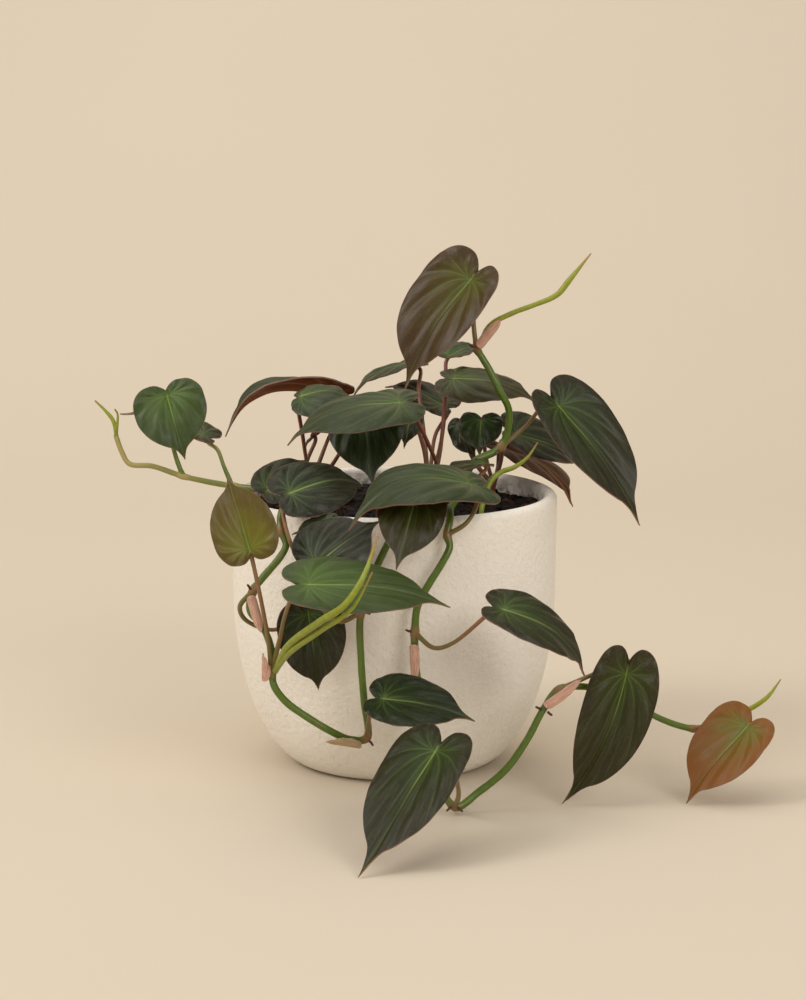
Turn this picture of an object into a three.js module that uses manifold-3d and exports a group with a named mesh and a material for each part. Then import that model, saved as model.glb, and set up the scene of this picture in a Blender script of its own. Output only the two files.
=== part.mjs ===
// A velvet leaf philodendron in a round pot: the pot, the soil, the vines with their leaf stalks,
// the leaf blades, the rolled new leaves and the papery sheaths.
// Millimetres, +Z up, origin at the middle of the pot's foot, the viewer on the -Y side.
import * as THREE from "three";
import { mergeVertices } from "three/addons/utils/BufferGeometryUtils.js";
import Module from "manifold-3d";

const wasm = await Module();
wasm.setup();

// Pot
const POT_HEIGHT = 108.5;
const RIM_RADIUS = 65;
const WALL = 5.4;
const FOOT_RADIUS = 36;
const FLOOR_THICKNESS = 8;
const CORNER_HEIGHT = 66; // the round lower part ends here
const CORNER_RADIUS = 64.3;
const CORNER_POWER = 1.84; // 2 would be an ellipse
const CORNER_STEPS = 6;
const RIM_STEPS = 4;
const POT_SIDES = 44;

// Soil
const SOIL_TOP = 102;
const SOIL_RINGS = 3;
const SOIL_BUMP = 0.9;
const GAP = 0.4; // between pieces that touch
const HOLE_CLEARANCE = 0.8;
const HOLE_SIDES = 12;
const HOLE_DEPTH = 17;
const ROOT_DEPTH = 16;

// Stems
const STEM_SIDES = 6;
const STEM_STEP = 7.5;
const STALK = [1.2, 0.9, 0.95]; // radius of a leaf stalk, from the stem to the blade
const STALK_DROP = 1.9; // a stalk's end under the middle of the blade

// Blades
const BLADE_THICKNESS = 0.8;
const BLADE_RINGS = [0.38, 0.72, 1];
const WAVE = 0.7; // height of the waved edge
const WAVES = 9; // half waves along one edge
const RIB_START = 0.07; // where the veins part, as a share of the blade's length
const VEIN_BEND = [0.35, 0.6]; // the veins' sweep: shares of the way along and out to the edge

// Half a leaf's outline in shares of its length and half width, from the notch over the lobe to the tip.
const HEART = [
  { steps: 2, curve: [[0, 0], [-0.06, 0.1], [-0.1, 0.2], [-0.1, 0.38]] },
  { steps: 3, curve: [[-0.1, 0.38], [-0.1, 0.74], [0.02, 1], [0.24, 1]] },
  { steps: 3, curve: [[0.24, 1], [0.48, 1], [0.62, 0.58], [0.78, 0.25]] },
  { steps: 2, curve: [[0.78, 0.25], [0.86, 0.1], [0.93, 0.05], [1, 0]] },
];

// Half a sheath's outline: a narrow boat that is blunt at its foot.
const BOAT = [
  { steps: 2, curve: [[0, 0], [-0.01, 0.3], [0, 0.6], [0.1, 0.8]] },
  { steps: 4, curve: [[0.1, 0.8], [0.35, 1.15], [0.75, 0.8], [1, 0]] },
];

const point = (xyz) => new THREE.Vector3(...xyz);
const radians = THREE.MathUtils.degToRad;

// Solids and geometries
function solid(geometry) {
  geometry.deleteAttribute("normal");
  geometry.deleteAttribute("uv");
  const merged = mergeVertices(geometry, 1e-3);
  const mesh = { numProp: 3, vertProperties: merged.attributes.position.array };
  mesh.triVerts = new Uint32Array(merged.index.array);
  return new wasm.Manifold(new wasm.Mesh(mesh));
}

function geometryOf(made) {
  const { vertProperties, triVerts } = made.getMesh();
  const geometry = new THREE.BufferGeometry();
  geometry.setAttribute("position", new THREE.BufferAttribute(vertProperties, 3));
  geometry.setIndex(new THREE.BufferAttribute(triVerts, 1));
  return geometry;
}

const joined = (geometries) => geometries.map(solid).reduce((a, b) => a.add(b));

// The pot's wall is a flattened round corner over a flat foot, then almost straight up to the rim.
function corner(footRadius, topRadius, footHeight) {
  const profile = [];
  for (let i = 0; i <= CORNER_STEPS; i++) {
    const a = (Math.PI / 2) * (i / CORNER_STEPS);
    const out = Math.sin(a) ** (2 / CORNER_POWER);
    const up = 1 - Math.cos(a) ** (2 / CORNER_POWER);
    const radius = footRadius + (topRadius - footRadius) * out;
    profile.push(new THREE.Vector2(radius, footHeight + (CORNER_HEIGHT - footHeight) * up));
  }
  return profile;
}

function potGeometry() {
  const outside = corner(FOOT_RADIUS, CORNER_RADIUS, 0);
  const inside = corner(FOOT_RADIUS - WALL, CORNER_RADIUS - WALL, FLOOR_THICKNESS);
  const half = WALL / 2;
  const rim = [];
  for (let i = 0; i <= RIM_STEPS; i++) {
    const a = Math.PI * (i / RIM_STEPS);
    const radius = RIM_RADIUS - half + half * Math.cos(a);
    rim.push(new THREE.Vector2(radius, POT_HEIGHT - half + half * Math.sin(a)));
  }
  const axisFoot = new THREE.Vector2(0, 0);
  const axisFloor = new THREE.Vector2(0, FLOOR_THICKNESS);
  return new THREE.LatheGeometry(
    [axisFoot, ...outside, ...rim, ...inside.reverse(), axisFloor],
    POT_SIDES,
  ).rotateX(Math.PI / 2);
}

// Soil height over the foot, uneven by a few slow waves.
function soilHeight(x, y) {
  const waves = Math.sin(x / 7 + 1) * Math.cos(y / 9) + Math.sin((x + y) / 5) * 0.6;
  return SOIL_TOP + SOIL_BUMP * waves;
}

function soilGeometry(feet) {
  const bed = corner(FOOT_RADIUS - WALL - GAP, CORNER_RADIUS - WALL - GAP, FLOOR_THICKNESS + GAP);
  const edge = RIM_RADIUS - WALL - GAP;
  const top = [];
  for (let i = 0; i < SOIL_RINGS; i++) {
    top.push(new THREE.Vector2(edge * (1 - i / SOIL_RINGS), SOIL_TOP));
  }
  const axis = [new THREE.Vector2(0, FLOOR_THICKNESS + GAP), new THREE.Vector2(0, SOIL_TOP)];
  const profile = [axis[0], ...bed, ...top, axis[1]];
  const geometry = new THREE.LatheGeometry(profile, POT_SIDES).rotateX(Math.PI / 2);
  const position = geometry.attributes.position;
  for (let i = 0; i < position.count; i++) {
    if (position.getZ(i) > SOIL_TOP - GAP) {
      position.setZ(i, soilHeight(position.getX(i), position.getY(i)));
    }
  }
  let soil = solid(geometry);
  for (const { at, radius } of feet) {
    const hole = new THREE.CylinderGeometry(radius, radius, 2 * HOLE_DEPTH, HOLE_SIDES).rotateX(Math.PI / 2);
    hole.translate(at[0], at[1], SOIL_TOP);
    soil = soil.subtract(solid(hole));
  }
  return geometryOf(soil);
}

// A leaf's middle line, bowed towards the side that it shows and swayed across it.
function midrib(leaf) {
  const from = point(leaf.base);
  const along = point(leaf.tip).sub(from);
  const up = squareTo(point(leaf.face), along);
  const side = new THREE.Vector3().crossVectors(up, along).normalize();
  const control = (i) =>
    from.clone().addScaledVector(along, (i + 1) / 3)
      .addScaledVector(up, leaf.bow[i]).addScaledVector(side, leaf.sway ? leaf.sway[i] : 0);
  return new THREE.CubicBezierCurve3(from, control(0), control(1), point(leaf.tip));
}

const squareTo = (v, axis) => v.addScaledVector(axis, -v.dot(axis) / axis.lengthSq()).normalize();

// The place on a blade at a share of its length and a signed share of its half width.
function bladePoint(leaf, rib, along, across) {
  const t = THREE.MathUtils.clamp(along, 0, 1);
  const axis = rib.getTangent(t);
  const up = squareTo(point(leaf.face), axis);
  up.applyAxisAngle(axis, radians((leaf.twist || 0) * t));
  const side = new THREE.Vector3().crossVectors(up, axis);
  const u = Math.abs(across);
  const fold = radians(leaf.fold);
  const curl = radians(leaf.curl) || 1e-4;
  const reach = (leaf.width / 2) * (Math.sin(fold + curl * u) - Math.sin(fold)) / curl;
  const lift = (leaf.width / 2) * (Math.cos(fold) - Math.cos(fold + curl * u)) / curl;
  const wave = (leaf.wave ?? WAVE) * u * u * Math.sin(WAVES * along + (across < 0 ? 2 : 0));
  return rib.getPoint(t)
    .addScaledVector(axis, (along - t) * point(leaf.base).distanceTo(point(leaf.tip)))
    .addScaledVector(side, Math.sign(across) * reach)
    .addScaledVector(up, lift + wave);
}

function margin(outline) {
  const half = [];
  for (const { steps, curve } of outline) {
    const bezier = new THREE.CubicBezierCurve(...curve.map(([s, w]) => new THREE.Vector2(s, w)));
    half.push(...bezier.getPoints(steps).slice(0, -1));
  }
  const tip = new THREE.Vector2(1, 0);
  const other = half.slice(1).reverse().map((p) => new THREE.Vector2(p.x, -p.y));
  return [...half, tip, ...other];
}

// A blade is one sheet of triangles round the point where its veins part, doubled and closed at the rim.
function bladeGeometry(leaf, outline = HEART) {
  const rib = midrib(leaf);
  const edge = margin(outline);
  const around = edge.length;
  const start = new THREE.Vector2(RIB_START, 0);
  const middle = [bladePoint(leaf, rib, RIB_START, 0)];
  for (const share of BLADE_RINGS) {
    for (const end of edge) {
      const bend = new THREE.Vector2(start.x + (end.x - start.x) * VEIN_BEND[0], end.y * VEIN_BEND[1]);
      const at = new THREE.QuadraticBezierCurve(start, bend, end).getPoint(share);
      middle.push(bladePoint(leaf, rib, at.x, at.y));
    }
  }
  const sheet = [];
  const vertex = (ring, k) => (ring < 0 ? 0 : 1 + ring * around + (k % around));
  for (let ring = 0; ring < BLADE_RINGS.length; ring++) {
    for (let k = 0; k < around; k++) {
      const [a, b] = [vertex(ring - 1, k), vertex(ring - 1, k + 1)];
      const [c, d] = [vertex(ring, k + 1), vertex(ring, k)];
      if (ring > 0) sheet.push(a, b, c);
      sheet.push(a, c, d);
    }
  }
  const surface = new THREE.BufferGeometry().setFromPoints(middle).setIndex(sheet);
  surface.computeVertexNormals();
  const count = middle.length;
  const both = [];
  for (const side of [1, -1]) {
    for (let i = 0; i < count; i++) {
      const normal = new THREE.Vector3().fromBufferAttribute(surface.attributes.normal, i);
      both.push(middle[i].clone().addScaledVector(normal, (side * BLADE_THICKNESS) / 2));
    }
  }
  const faces = [...sheet];
  for (let i = 0; i < sheet.length; i += 3) {
    const [a, b, c] = sheet.slice(i, i + 3);
    faces.push(a + count, c + count, b + count);
  }
  for (let k = 0; k < around; k++) {
    const [a, b] = [vertex(BLADE_RINGS.length - 1, k), vertex(BLADE_RINGS.length - 1, k + 1)];
    faces.push(a, b, b + count, a, b + count, a + count);
  }
  return new THREE.BufferGeometry().setFromPoints(both).setIndex(faces);
}

// A stem is a round section drawn along a smooth line, then swollen or thinned along its length.
function stemGeometry(places, radii) {
  const path = new THREE.CatmullRomCurve3(places, false, "centripetal");
  const steps = Math.max(2, Math.round(path.getLength() / STEM_STEP));
  const section = [];
  for (let i = 0; i < STEM_SIDES; i++) {
    const a = (2 * Math.PI * i) / STEM_SIDES;
    section.push(new THREE.Vector2(Math.cos(a), Math.sin(a)));
  }
  const geometry = new THREE.ExtrudeGeometry(new THREE.Shape(section), { steps, extrudePath: path });
  const middles = path.getSpacedPoints(steps);
  const position = geometry.attributes.position;
  const at = new THREE.Vector3();
  for (let i = 0; i < position.count; i++) {
    at.fromBufferAttribute(position, i);
    const distances = middles.map((m) => m.distanceToSquared(at));
    const ring = distances.indexOf(Math.min(...distances));
    const along = (ring / steps) * (radii.length - 1);
    const from = Math.min(Math.floor(along), radii.length - 2);
    const radius = THREE.MathUtils.lerp(radii[from], radii[from + 1], along - from);
    at.sub(middles[ring]).multiplyScalar(radius).add(middles[ring]);
    position.setXYZ(i, at.x, at.y, at.z);
  }
  return geometry;
}

// Leaf blades: base and tip of the midrib, which way the upper side faces, width, bow of the midrib,
// fold at the midrib and curl of each half, both in degrees and upwards, and colour.
const DARK = "#39483a";
const TEAL = "#3f5247";
const OLIVE = "#4b4a27";
const BRONZE = "#5f5430";
const BRIGHT = "#3f6a2c";
const YOUNG = "#8a5a33";
const LEAVES = {
  // upright, over the climbing stem
  leaf_01: {
    base: [32, -20, 197], tip: [4, -30, 153], face: [-0.45, -0.76, 0.46],
    width: 36, bow: [1, 3], sway: [-3, -2], fold: 24, curl: -18, colour: BRONZE,
  },
  // left runner
  leaf_02: {
    base: [-89, -12, 150], tip: [-81, -21, 124], face: [0, -1, 0.3],
    width: 29, bow: [1, 3], fold: 20, curl: -24, colour: BRIGHT,
  },
  leaf_03: {
    base: [-74, 6, 129], tip: [-110, 14, 138], face: [0.2, -0.15, 1],
    width: 24, bow: [2, 3], fold: 14, curl: -20, colour: DARK,
  },
  // crown, left
  leaf_04: {
    base: [-22, 23, 144], tip: [-68, 10, 129], face: [0, 0.25, 1],
    width: 24, bow: [8, 18], fold: 34, curl: -10, colour: TEAL,
  },
  leaf_05: {
    base: [-38, -6, 147], tip: [-16, -8, 147], face: [0.05, -0.4, 0.92],
    width: 24, bow: [3, 4], fold: -6, curl: -24, colour: TEAL,
  },
  leaf_06: {
    base: [-33, 16, 128], tip: [-18, 32, 138], face: [-0.3, 0.5, 0.7],
    width: 20, bow: [2, 3], fold: 10, curl: -20, colour: OLIVE,
  },
  // crown, middle
  leaf_07: {
    base: [6, -30, 148], tip: [-41, -34, 132], face: [-0.18, -0.3, 0.94],
    width: 36, bow: [6, 9], fold: 6, curl: -30, colour: TEAL,
  },
  leaf_08: {
    base: [10, 36, 155], tip: [-17, 30, 143], face: [-0.4, -0.05, 1],
    width: 24, bow: [4, 5], fold: 10, curl: -20, colour: TEAL,
  },
  leaf_09: {
    base: [21, 18, 160], tip: [35, 30, 163], face: [-0.14, -0.3, 0.95],
    width: 16, bow: [1, 2], fold: 15, curl: -10, colour: TEAL,
  },
  leaf_10: {
    base: [21, 5, 153], tip: [57, 0, 144], face: [0.17, -0.38, 0.9],
    width: 28, bow: [4, 5], fold: 6, curl: -36, colour: OLIVE,
  },
  leaf_11: {
    base: [22, 30, 138], tip: [-4, 44, 145], face: [0, -0.35, 0.9],
    width: 20, bow: [2, 4], fold: 10, curl: -20, colour: OLIVE,
  },
  // crown, right
  leaf_12: {
    base: [35, 14, 136], tip: [34, 3, 122], face: [-0.1, -0.75, 0.62],
    width: 18, bow: [1, 2], fold: 14, curl: -20, colour: DARK,
  },
  leaf_13: {
    base: [27, 22, 134], tip: [33, 15, 119], face: [-0.5, -0.8, 0.3],
    width: 14, bow: [1, 2], fold: 10, curl: -20, colour: DARK,
  },
  leaf_14: {
    base: [46, 11, 131], tip: [78, 22, 114], face: [0.5, -0.4, 0.76],
    width: 27, bow: [2, 4], fold: 12, curl: -14, colour: DARK,
  },
  leaf_15: {
    base: [62, -10, 147], tip: [96, -25, 99], face: [0.42, -0.76, 0.5],
    width: 32, bow: [2, 5], sway: [1, 0], fold: 24, curl: -20, colour: DARK,
  },
  leaf_16: {
    base: [44, 28, 123], tip: [75, 48, 94], face: [0.7, 0.6, 0.6],
    width: 26, bow: [4, 8], fold: 10, curl: -30, colour: OLIVE,
  },
  // over the front rim
  leaf_17: {
    base: [32, -65, 121], tip: [-17, -80, 107], face: [-0.07, -0.3, 0.95],
    width: 36, bow: [13, 16], fold: 10, curl: -30, colour: TEAL,
  },
  leaf_18: {
    base: [-12, -8, 144], tip: [-8, -28, 115], face: [-0.1, -0.84, 0.5],
    width: 30, bow: [1, 3], fold: 12, curl: -20, colour: OLIVE,
  },
  leaf_19: {
    base: [-41, -62, 117], tip: [-11, -40, 117], face: [0.37, -0.48, 0.8],
    width: 27, bow: [6, 7], fold: 6, curl: -24, colour: DARK,
  },
  leaf_20: {
    base: [-50, -25, 112], tip: [-33, -10, 123], face: [0.1, -0.7, 0.7],
    width: 18, bow: [1, 2], fold: 10, curl: -20, colour: DARK,
  },
  leaf_21: {
    base: [-22, -66, 108], tip: [-38, -66, 103], face: [-0.3, -0.75, 0.6],
    width: 8, bow: [1, 1], fold: 10, curl: -20, colour: TEAL,
  },
  leaf_22: {
    base: [-30, -82, 94], tip: [-5, -75, 110], face: [-0.2, -0.66, 0.72],
    width: 32, bow: [0, 0], fold: 8, curl: -12, colour: DARK,
  },
  leaf_23: {
    base: [9, -70, 120], tip: [1, -90, 94], face: [0.1, -0.75, 0.6],
    width: 25, bow: [3, 4], fold: 10, curl: -20, colour: OLIVE,
  },
  leaf_24: {
    base: [-34, -107, 92.5], tip: [21, -98, 82.5], face: [0.08, -0.52, 0.85],
    width: 28, bow: [4, 5], fold: 10, curl: -20, colour: BRIGHT,
  },
  leaf_25: {
    base: [-32, -70, 76], tip: [-28, -70, 44], face: [0.15, -0.97, -0.16],
    width: 27, bow: [1, 3], fold: 26, curl: -16, colour: OLIVE,
  },
  leaf_26: {
    base: [-52, -84, 99], tip: [-61, -76, 127], face: [0.05, -0.97, 0.25],
    width: 25, bow: [1, 2], fold: 22, curl: -16, colour: BRONZE,
  },
  // trailing, low
  leaf_27: {
    base: [-6, -92, 47], tip: [30, -98, 40], face: [0.08, -0.6, 0.8],
    width: 24, bow: [3, 3], fold: 12, curl: -20, colour: BRIGHT,
  },
  leaf_28: {
    base: [17, -118, 37], tip: [-12, -159, 1], face: [-0.2, -0.58, 0.79],
    width: 31, bow: [3, 2], sway: [1, 3], fold: 16, curl: -18, colour: DARK,
  },
  leaf_29: {
    base: [37, -92, 81], tip: [71, -88, 54], face: [0.47, -0.42, 0.77],
    width: 26, bow: [8, 9], fold: 12, curl: -24, colour: DARK,
  },
  leaf_30: {
    base: [88, -70, 55], tip: [63, -74, 1], face: [-0.05, -0.99, 0.08],
    width: 28, bow: [1, 3], sway: [5, 6], fold: 28, curl: -20, colour: DARK,
  },
  leaf_31: {
    base: [136, -58, 29], tip: [110, -72, 1], face: [-0.3, -0.72, 0.6],
    width: 28, bow: [2, 3], fold: 20, curl: -14, colour: YOUNG,
  },
  // small ones among the stalks
  leaf_32: {
    base: [36, -22, 123], tip: [18, -34, 122], face: [-0.1, -0.3, 0.95],
    width: 9, bow: [1, 1], fold: 10, curl: -20, colour: OLIVE,
  },
  leaf_33: {
    base: [7, 0, 141], tip: [4, -10, 127], face: [0, -0.8, 0.5],
    width: 11, bow: [1, 2], fold: 10, curl: -20, colour: DARK,
  },
};

// A leaf stalk ends just under the blade, behind the notch.
function stalkEnd(name) {
  const leaf = LEAVES[name];
  const rib = midrib(leaf);
  const axis = rib.getTangent(0);
  const up = squareTo(point(leaf.face), axis);
  return point(leaf.base).addScaledVector(up, -STALK_DROP).addScaledVector(axis, -0.5);
}

// Stems: a name, a colour and the shoots that grew as one, each a list of places and of radii.
// A shoot that ends in a leaf is that leaf's stalk.
const GREEN = "#5c7a2e";
const REDDISH = "#7a4a3a";
const STEMS = {
  stem_climbing: {
    colour: GREEN,
    shoots: [
      {
        foot: [22, -24],
        way: [
          [25, -18, 109], [31, -15, 122], [42, -12, 128], [45, -14, 142], [41, -16, 151],
          [37, -15, 159], [32, -14, 167],
        ],
        radii: [1.6, 1.6, 1.7, 1.5, 1.5],
      },
      { way: [[42, -12, 128], [52, -9, 136], [57, -8, 142]], leaf: "leaf_15" },
      { way: [[32, -14, 167], [31, -12, 178], [32, -14, 190]], leaf: "leaf_01" },
      { way: [[25, -18, 109], [30, -22, 115]], leaf: "leaf_32" },
    ],
  },
  stem_left: {
    colour: GREEN,
    shoots: [
      {
        foot: [-32, -16],
        way: [
          [-37, -18, 107], [-44, -20, 111], [-52, -18, 112], [-67, -12, 113], [-83, -10, 116],
          [-95, -10, 120], [-104, -10, 121], [-107, -10, 126], [-109, -10, 132],
        ],
        radii: [1.4, 1.4, 1.2, 1.1],
      },
      { way: [[-63, -14, 112], [-67, -6, 119], [-70, 0, 125]], leaf: "leaf_03" },
      { way: [[-83, -10, 116], [-86, -8, 124], [-89, -8, 138]], leaf: "leaf_02" },
    ],
  },
  stem_trailing: {
    colour: GREEN,
    shoots: [
      {
        foot: [20, -40],
        way: [
          [20, -48, 108], [21, -58, 111.5], [21, -65, 108], [20, -67, 103], [21, -69, 99],
          [18, -71, 93], [13, -72, 85], [9, -72, 77], [8, -72, 67], [8, -72, 58],
          [9, -73, 49], [12, -74, 34], [16, -77, 14], [23, -83, 3], [32, -80, 8],
          [42, -78, 16], [50, -76, 27], [56, -74, 38], [62, -71, 45], [78, -66, 44],
          [89, -62, 39], [100, -58, 31], [115, -53, 25], [126, -48, 25],
        ],
        radii: [1.5, 1.5, 1.6, 1.6, 1.5, 1.4, 1.3],
      },
      { way: [[20, -67, 103], [27, -70, 108], [31, -66, 114]], leaf: "leaf_17" },
      { way: [[8, -72, 67], [15, -80, 63], [22, -85, 66]], leaf: "leaf_29" },
      { way: [[23, -83, 3], [24, -95, 12], [21, -108, 28]], leaf: "leaf_28" },
      { way: [[62, -71, 45], [72, -69, 49], [82, -67, 53]], leaf: "leaf_30" },
      { way: [[115, -53, 25], [125, -52, 27]], leaf: "leaf_31" },
    ],
  },
  stem_hanging: {
    colour: GREEN,
    shoots: [
      {
        foot: [1, -44],
        way: [
          [1, -50, 108], [1, -56, 111], [1, -62, 112.5], [0, -67, 110], [-1, -69, 103],
          [-6, -71, 92], [-12, -73, 75], [-12, -74, 57], [-11, -74, 42], [-10, -74, 27],
          [-16, -76, 27], [-22, -78, 30], [-34, -80, 38], [-40, -81, 43], [-44, -82, 49],
          [-45, -81, 54],
        ],
        radii: [1.5, 1.5, 1.5, 1.5],
      },
      {
        foot: [-27, -36],
        way: [
          [-31, -43, 108], [-35, -50, 113], [-39, -55, 113.5], [-42, -60, 110], [-42, -63, 104],
          [-40, -66, 99], [-42, -68, 95], [-49, -71, 87], [-52, -73, 83], [-53, -75, 76],
          [-48, -78, 70], [-45, -80, 62], [-45, -81, 54],
        ],
        radii: [1.4, 1.4, 1.5, 1.5],
      },
      { way: [[-42, -63, 104], [-46, -65, 101], [-49, -66, 99]], radii: [1.2, 0.7] },
      { way: [[-45, -81, 54], [-42, -84, 66], [-39, -95, 79]], leaf: "leaf_24" },
      { way: [[-45, -81, 54], [-46, -82, 66], [-49, -83, 84]], leaf: "leaf_26" },
      { way: [[-12, -73, 75], [-20, -76, 72], [-27, -76, 78]], leaf: "leaf_22" },
      { way: [[-12, -73, 75], [-24, -72, 84], [-37, -70, 98]], leaf: "leaf_19" },
      { way: [[-12, -73, 75], [-22, -71, 86], [-26, -70, 98]], leaf: "leaf_21" },
      { way: [[-10, -74, 27], [-9, -80, 36], [-8, -88, 43]], leaf: "leaf_27" },
      { way: [[-52, -73, 83], [-57, -72, 77], [-55, -69, 71], [-44, -67, 67]], leaf: "leaf_25" },
    ],
  },
  stalks_left: {
    colour: REDDISH,
    shoots: [
      { foot: [-35, 4], way: [[-34, 4, 110], [-36, 3, 128]], radii: STALK, leaf: "leaf_05" },
      { way: [[-34, 4, 106], [-35, 10, 118]], leaf: "leaf_06" },
      { way: [[-34, 4, 108], [-27, 14, 126], [-22, 20, 137]], leaf: "leaf_04" },
      { way: [[-34, 4, 106], [-42, -6, 108], [-47, -17, 107]], leaf: "leaf_20" },
      { way: [[-34, 4, 106], [-24, -2, 120], [-15, -6, 136]], leaf: "leaf_18" },
    ],
  },
  stalks_middle: {
    colour: REDDISH,
    shoots: [
      {
        foot: [14, 2],
        way: [
          [14, 2, 108], [17, -3, 118], [14, -12, 128], [9, -22, 140],
        ],
        radii: STALK,
        leaf: "leaf_07",
      },
      { way: [[14, 2, 108], [12, 12, 130], [10, 24, 146]], leaf: "leaf_08" },
      { way: [[14, 2, 108], [19, 8, 128], [21, 14, 148]], leaf: "leaf_09" },
      { way: [[14, 2, 108], [18, 2, 122], [20, 4, 142]], leaf: "leaf_10" },
      { way: [[14, 2, 108], [15, 14, 118], [17, 25, 128]], leaf: "leaf_11" },
      { way: [[14, 2, 108], [12, 4, 124]], leaf: "leaf_33" },
    ],
  },
  stalks_right: {
    colour: REDDISH,
    shoots: [
      {
        foot: [40, 16],
        way: [
          [40, 16, 108], [37, 17, 120], [36, 18, 130],
        ],
        radii: STALK,
        leaf: "leaf_12",
      },
      { way: [[40, 16, 108], [32, 22, 118], [28, 30, 130]], leaf: "leaf_13" },
      { way: [[40, 16, 108], [43, 14, 118]], leaf: "leaf_14" },
      { way: [[40, 16, 108], [42, 22, 114]], leaf: "leaf_16" },
    ],
  },
  stalk_front: {
    colour: REDDISH,
    shoots: [
      {
        foot: [-6, -30],
        way: [
          [-5, -34, 108], [-2, -46, 114], [5, -60, 119],
        ],
        radii: STALK,
        leaf: "leaf_23",
      },
    ],
  },
};

// Rolled new leaves at the ends of the shoots: strands that grew as one, each a list of places and of radii.
const LIME = "#a3a634";
const SPEARS = {
  spear_top: [
    {
      way: [
        [34, -16.5, 170], [37, -17, 176], [46, -17, 181], [54, -17, 184], [63, -17, 188],
        [68, -17, 194], [76, -17, 204],
      ],
      radii: [1.1, 1.3, 1.2, 1.5, 0.3],
    },
  ],
  spear_front: [
    {
      way: [
        [-43, -84.8, 56], [-38, -99, 68], [-26, -117, 80.8], [-17, -126, 88.8], [-12, -127, 95.8],
        [-9, -125, 101.8], [-5, -118, 112.8],
      ],
      radii: [1.4, 1.7, 1.7, 1.7, 1.3, 0.3],
    },
    {
      way: [[-43, -84.8, 56], [-37, -99, 66], [-25, -115, 77.8], [-14, -125, 87.8], [-7, -126, 100.8]],
      radii: [1.2, 1.4, 1.3, 0.3],
    },
  ],
  spear_right: [
    {
      way: [
        [127.5, -47.5, 26.5], [136, -48, 31], [143, -51, 37], [148, -51, 44],
      ],
      radii: [1.2, 1.3, 1.1, 0.3],
    },
  ],
  spear_crown: [
    {
      foot: [34, -26],
      way: [
        [35, -24, 109], [38, -20, 116], [42, -18, 119], [47, -19, 121], [52, -20, 125],
        [56, -20, 131],
      ],
      radii: [1.1, 1.2, 1.5, 1.2, 0.3],
    },
  ],
  spear_left: [
    {
      way: [
        [-109, -10, 133], [-110, -10, 138], [-113, -10, 142], [-117, -10, 146],
      ],
      radii: [1, 1, 0.4],
    },
    { way: [[-109, -10, 133], [-108, -12, 141], [-109, -13, 143]], radii: [1, 0.7, 0.4] },
  ],
};

// Papery sheaths, each wrapped over the near side of a stem between two places on it.
const SHEATH_WIDTH = 10;
const SHEATH_CURL = -90;
const SHEATH_CLEAR = 3.3; // from the stem's middle
const SHEATH_OPEN = 1.4; // how much further the free end stands off
const PINK = "#c98a74";
const TAN = "#b98f62";
const SHEATHS = {
  sheath_top: { from: [32.5, -17, 168], to: [41, -18, 179], face: [0.1, -1, 0], colour: "#d9a07a" },
  sheath_trailing: { from: [8, -72, 63], to: [9, -73, 49], face: [-0.3, -1, 0], colour: PINK },
  sheath_right: { from: [57, -75.5, 39], to: [71, -72.5, 48], face: [-0.3, -0.8, 0.5], colour: PINK },
  sheath_left: { from: [-53, -74, 82], to: [-49, -78, 69], face: [0.1, -1, 0], colour: PINK },
  sheath_front: { from: [-46, -81, 51], to: [-45, -82, 62], face: [-0.8, -0.6, 0], colour: PINK },
  sheath_dry: { from: [-12, -76, 26], to: [-25, -80, 30], face: [0, -0.8, -0.5], colour: TAN },
};

const plant = new THREE.Group();

function add(name, geometry, colour, roughness = 0.7) {
  const material = new THREE.MeshStandardMaterial({ color: colour, roughness, metalness: 0 });
  const mesh = new THREE.Mesh(geometry, material);
  mesh.name = name;
  plant.add(mesh);
}

// A shoot with a foot comes up out of its hole in the soil; one with a leaf runs on to that leaf.
function shootGeometry({ foot, way, radii, leaf }) {
  const places = way.map(point);
  if (foot) {
    for (const z of [SOIL_TOP + 3, SOIL_TOP - 6, SOIL_TOP - ROOT_DEPTH]) {
      places.unshift(point([...foot, z]));
    }
  }
  if (leaf) places.push(stalkEnd(leaf));
  return stemGeometry(places, radii ?? STALK);
}

const stems = Object.entries(STEMS).map(([name, { colour, shoots }]) => ({ name, colour, shoots }));
const spears = Object.entries(SPEARS).map(([name, shoots]) => ({ name, colour: LIME, shoots }));
const grown = [...stems, ...spears];
const feet = grown.flatMap(({ shoots }) => shoots).filter(({ foot }) => foot)
  .map(({ foot, radii }) => ({ at: foot, radius: Math.max(...radii) + HOLE_CLEARANCE }));

add("pot", potGeometry(), "#e6ddcc", 0.8);
add("soil", soilGeometry(feet), "#17120d", 1);
for (const { name, colour, shoots } of grown) {
  add(name, geometryOf(joined(shoots.map(shootGeometry))), colour);
}
for (const [name, leaf] of Object.entries(LEAVES)) add(name, bladeGeometry(leaf), leaf.colour);
for (const [name, { from, to, face, colour }] of Object.entries(SHEATHS)) {
  const off = point(face).normalize().multiplyScalar(SHEATH_CLEAR);
  const base = point(from).add(off).toArray();
  const tip = point(to).addScaledVector(off, SHEATH_OPEN).toArray();
  const sheath = { base, tip, face, width: SHEATH_WIDTH, bow: [0, 0], fold: 0, curl: SHEATH_CURL, wave: 0 };
  add(name, bladeGeometry(sheath, BOAT), colour);
}

export default plant;
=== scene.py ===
# %% [markdown]
# # Potted velvet leaf philodendron
#
# The real object is a young climbing and trailing houseplant in a round, pale, unglazed ceramic pot. The CAD
# model gives every piece its place and size. Here each piece is made again at the detail that the eye sees:
# thin velvet blades with veins, living stems with swollen nodes, rolled new leaves, papery sheaths, loose
# soil.
#
# All lengths below are in millimetres, and MM turns them into Blender's metres. Only the floor and the lights
# are in metres.

# %%
import math
import random

import bpy
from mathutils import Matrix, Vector, noise


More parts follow.
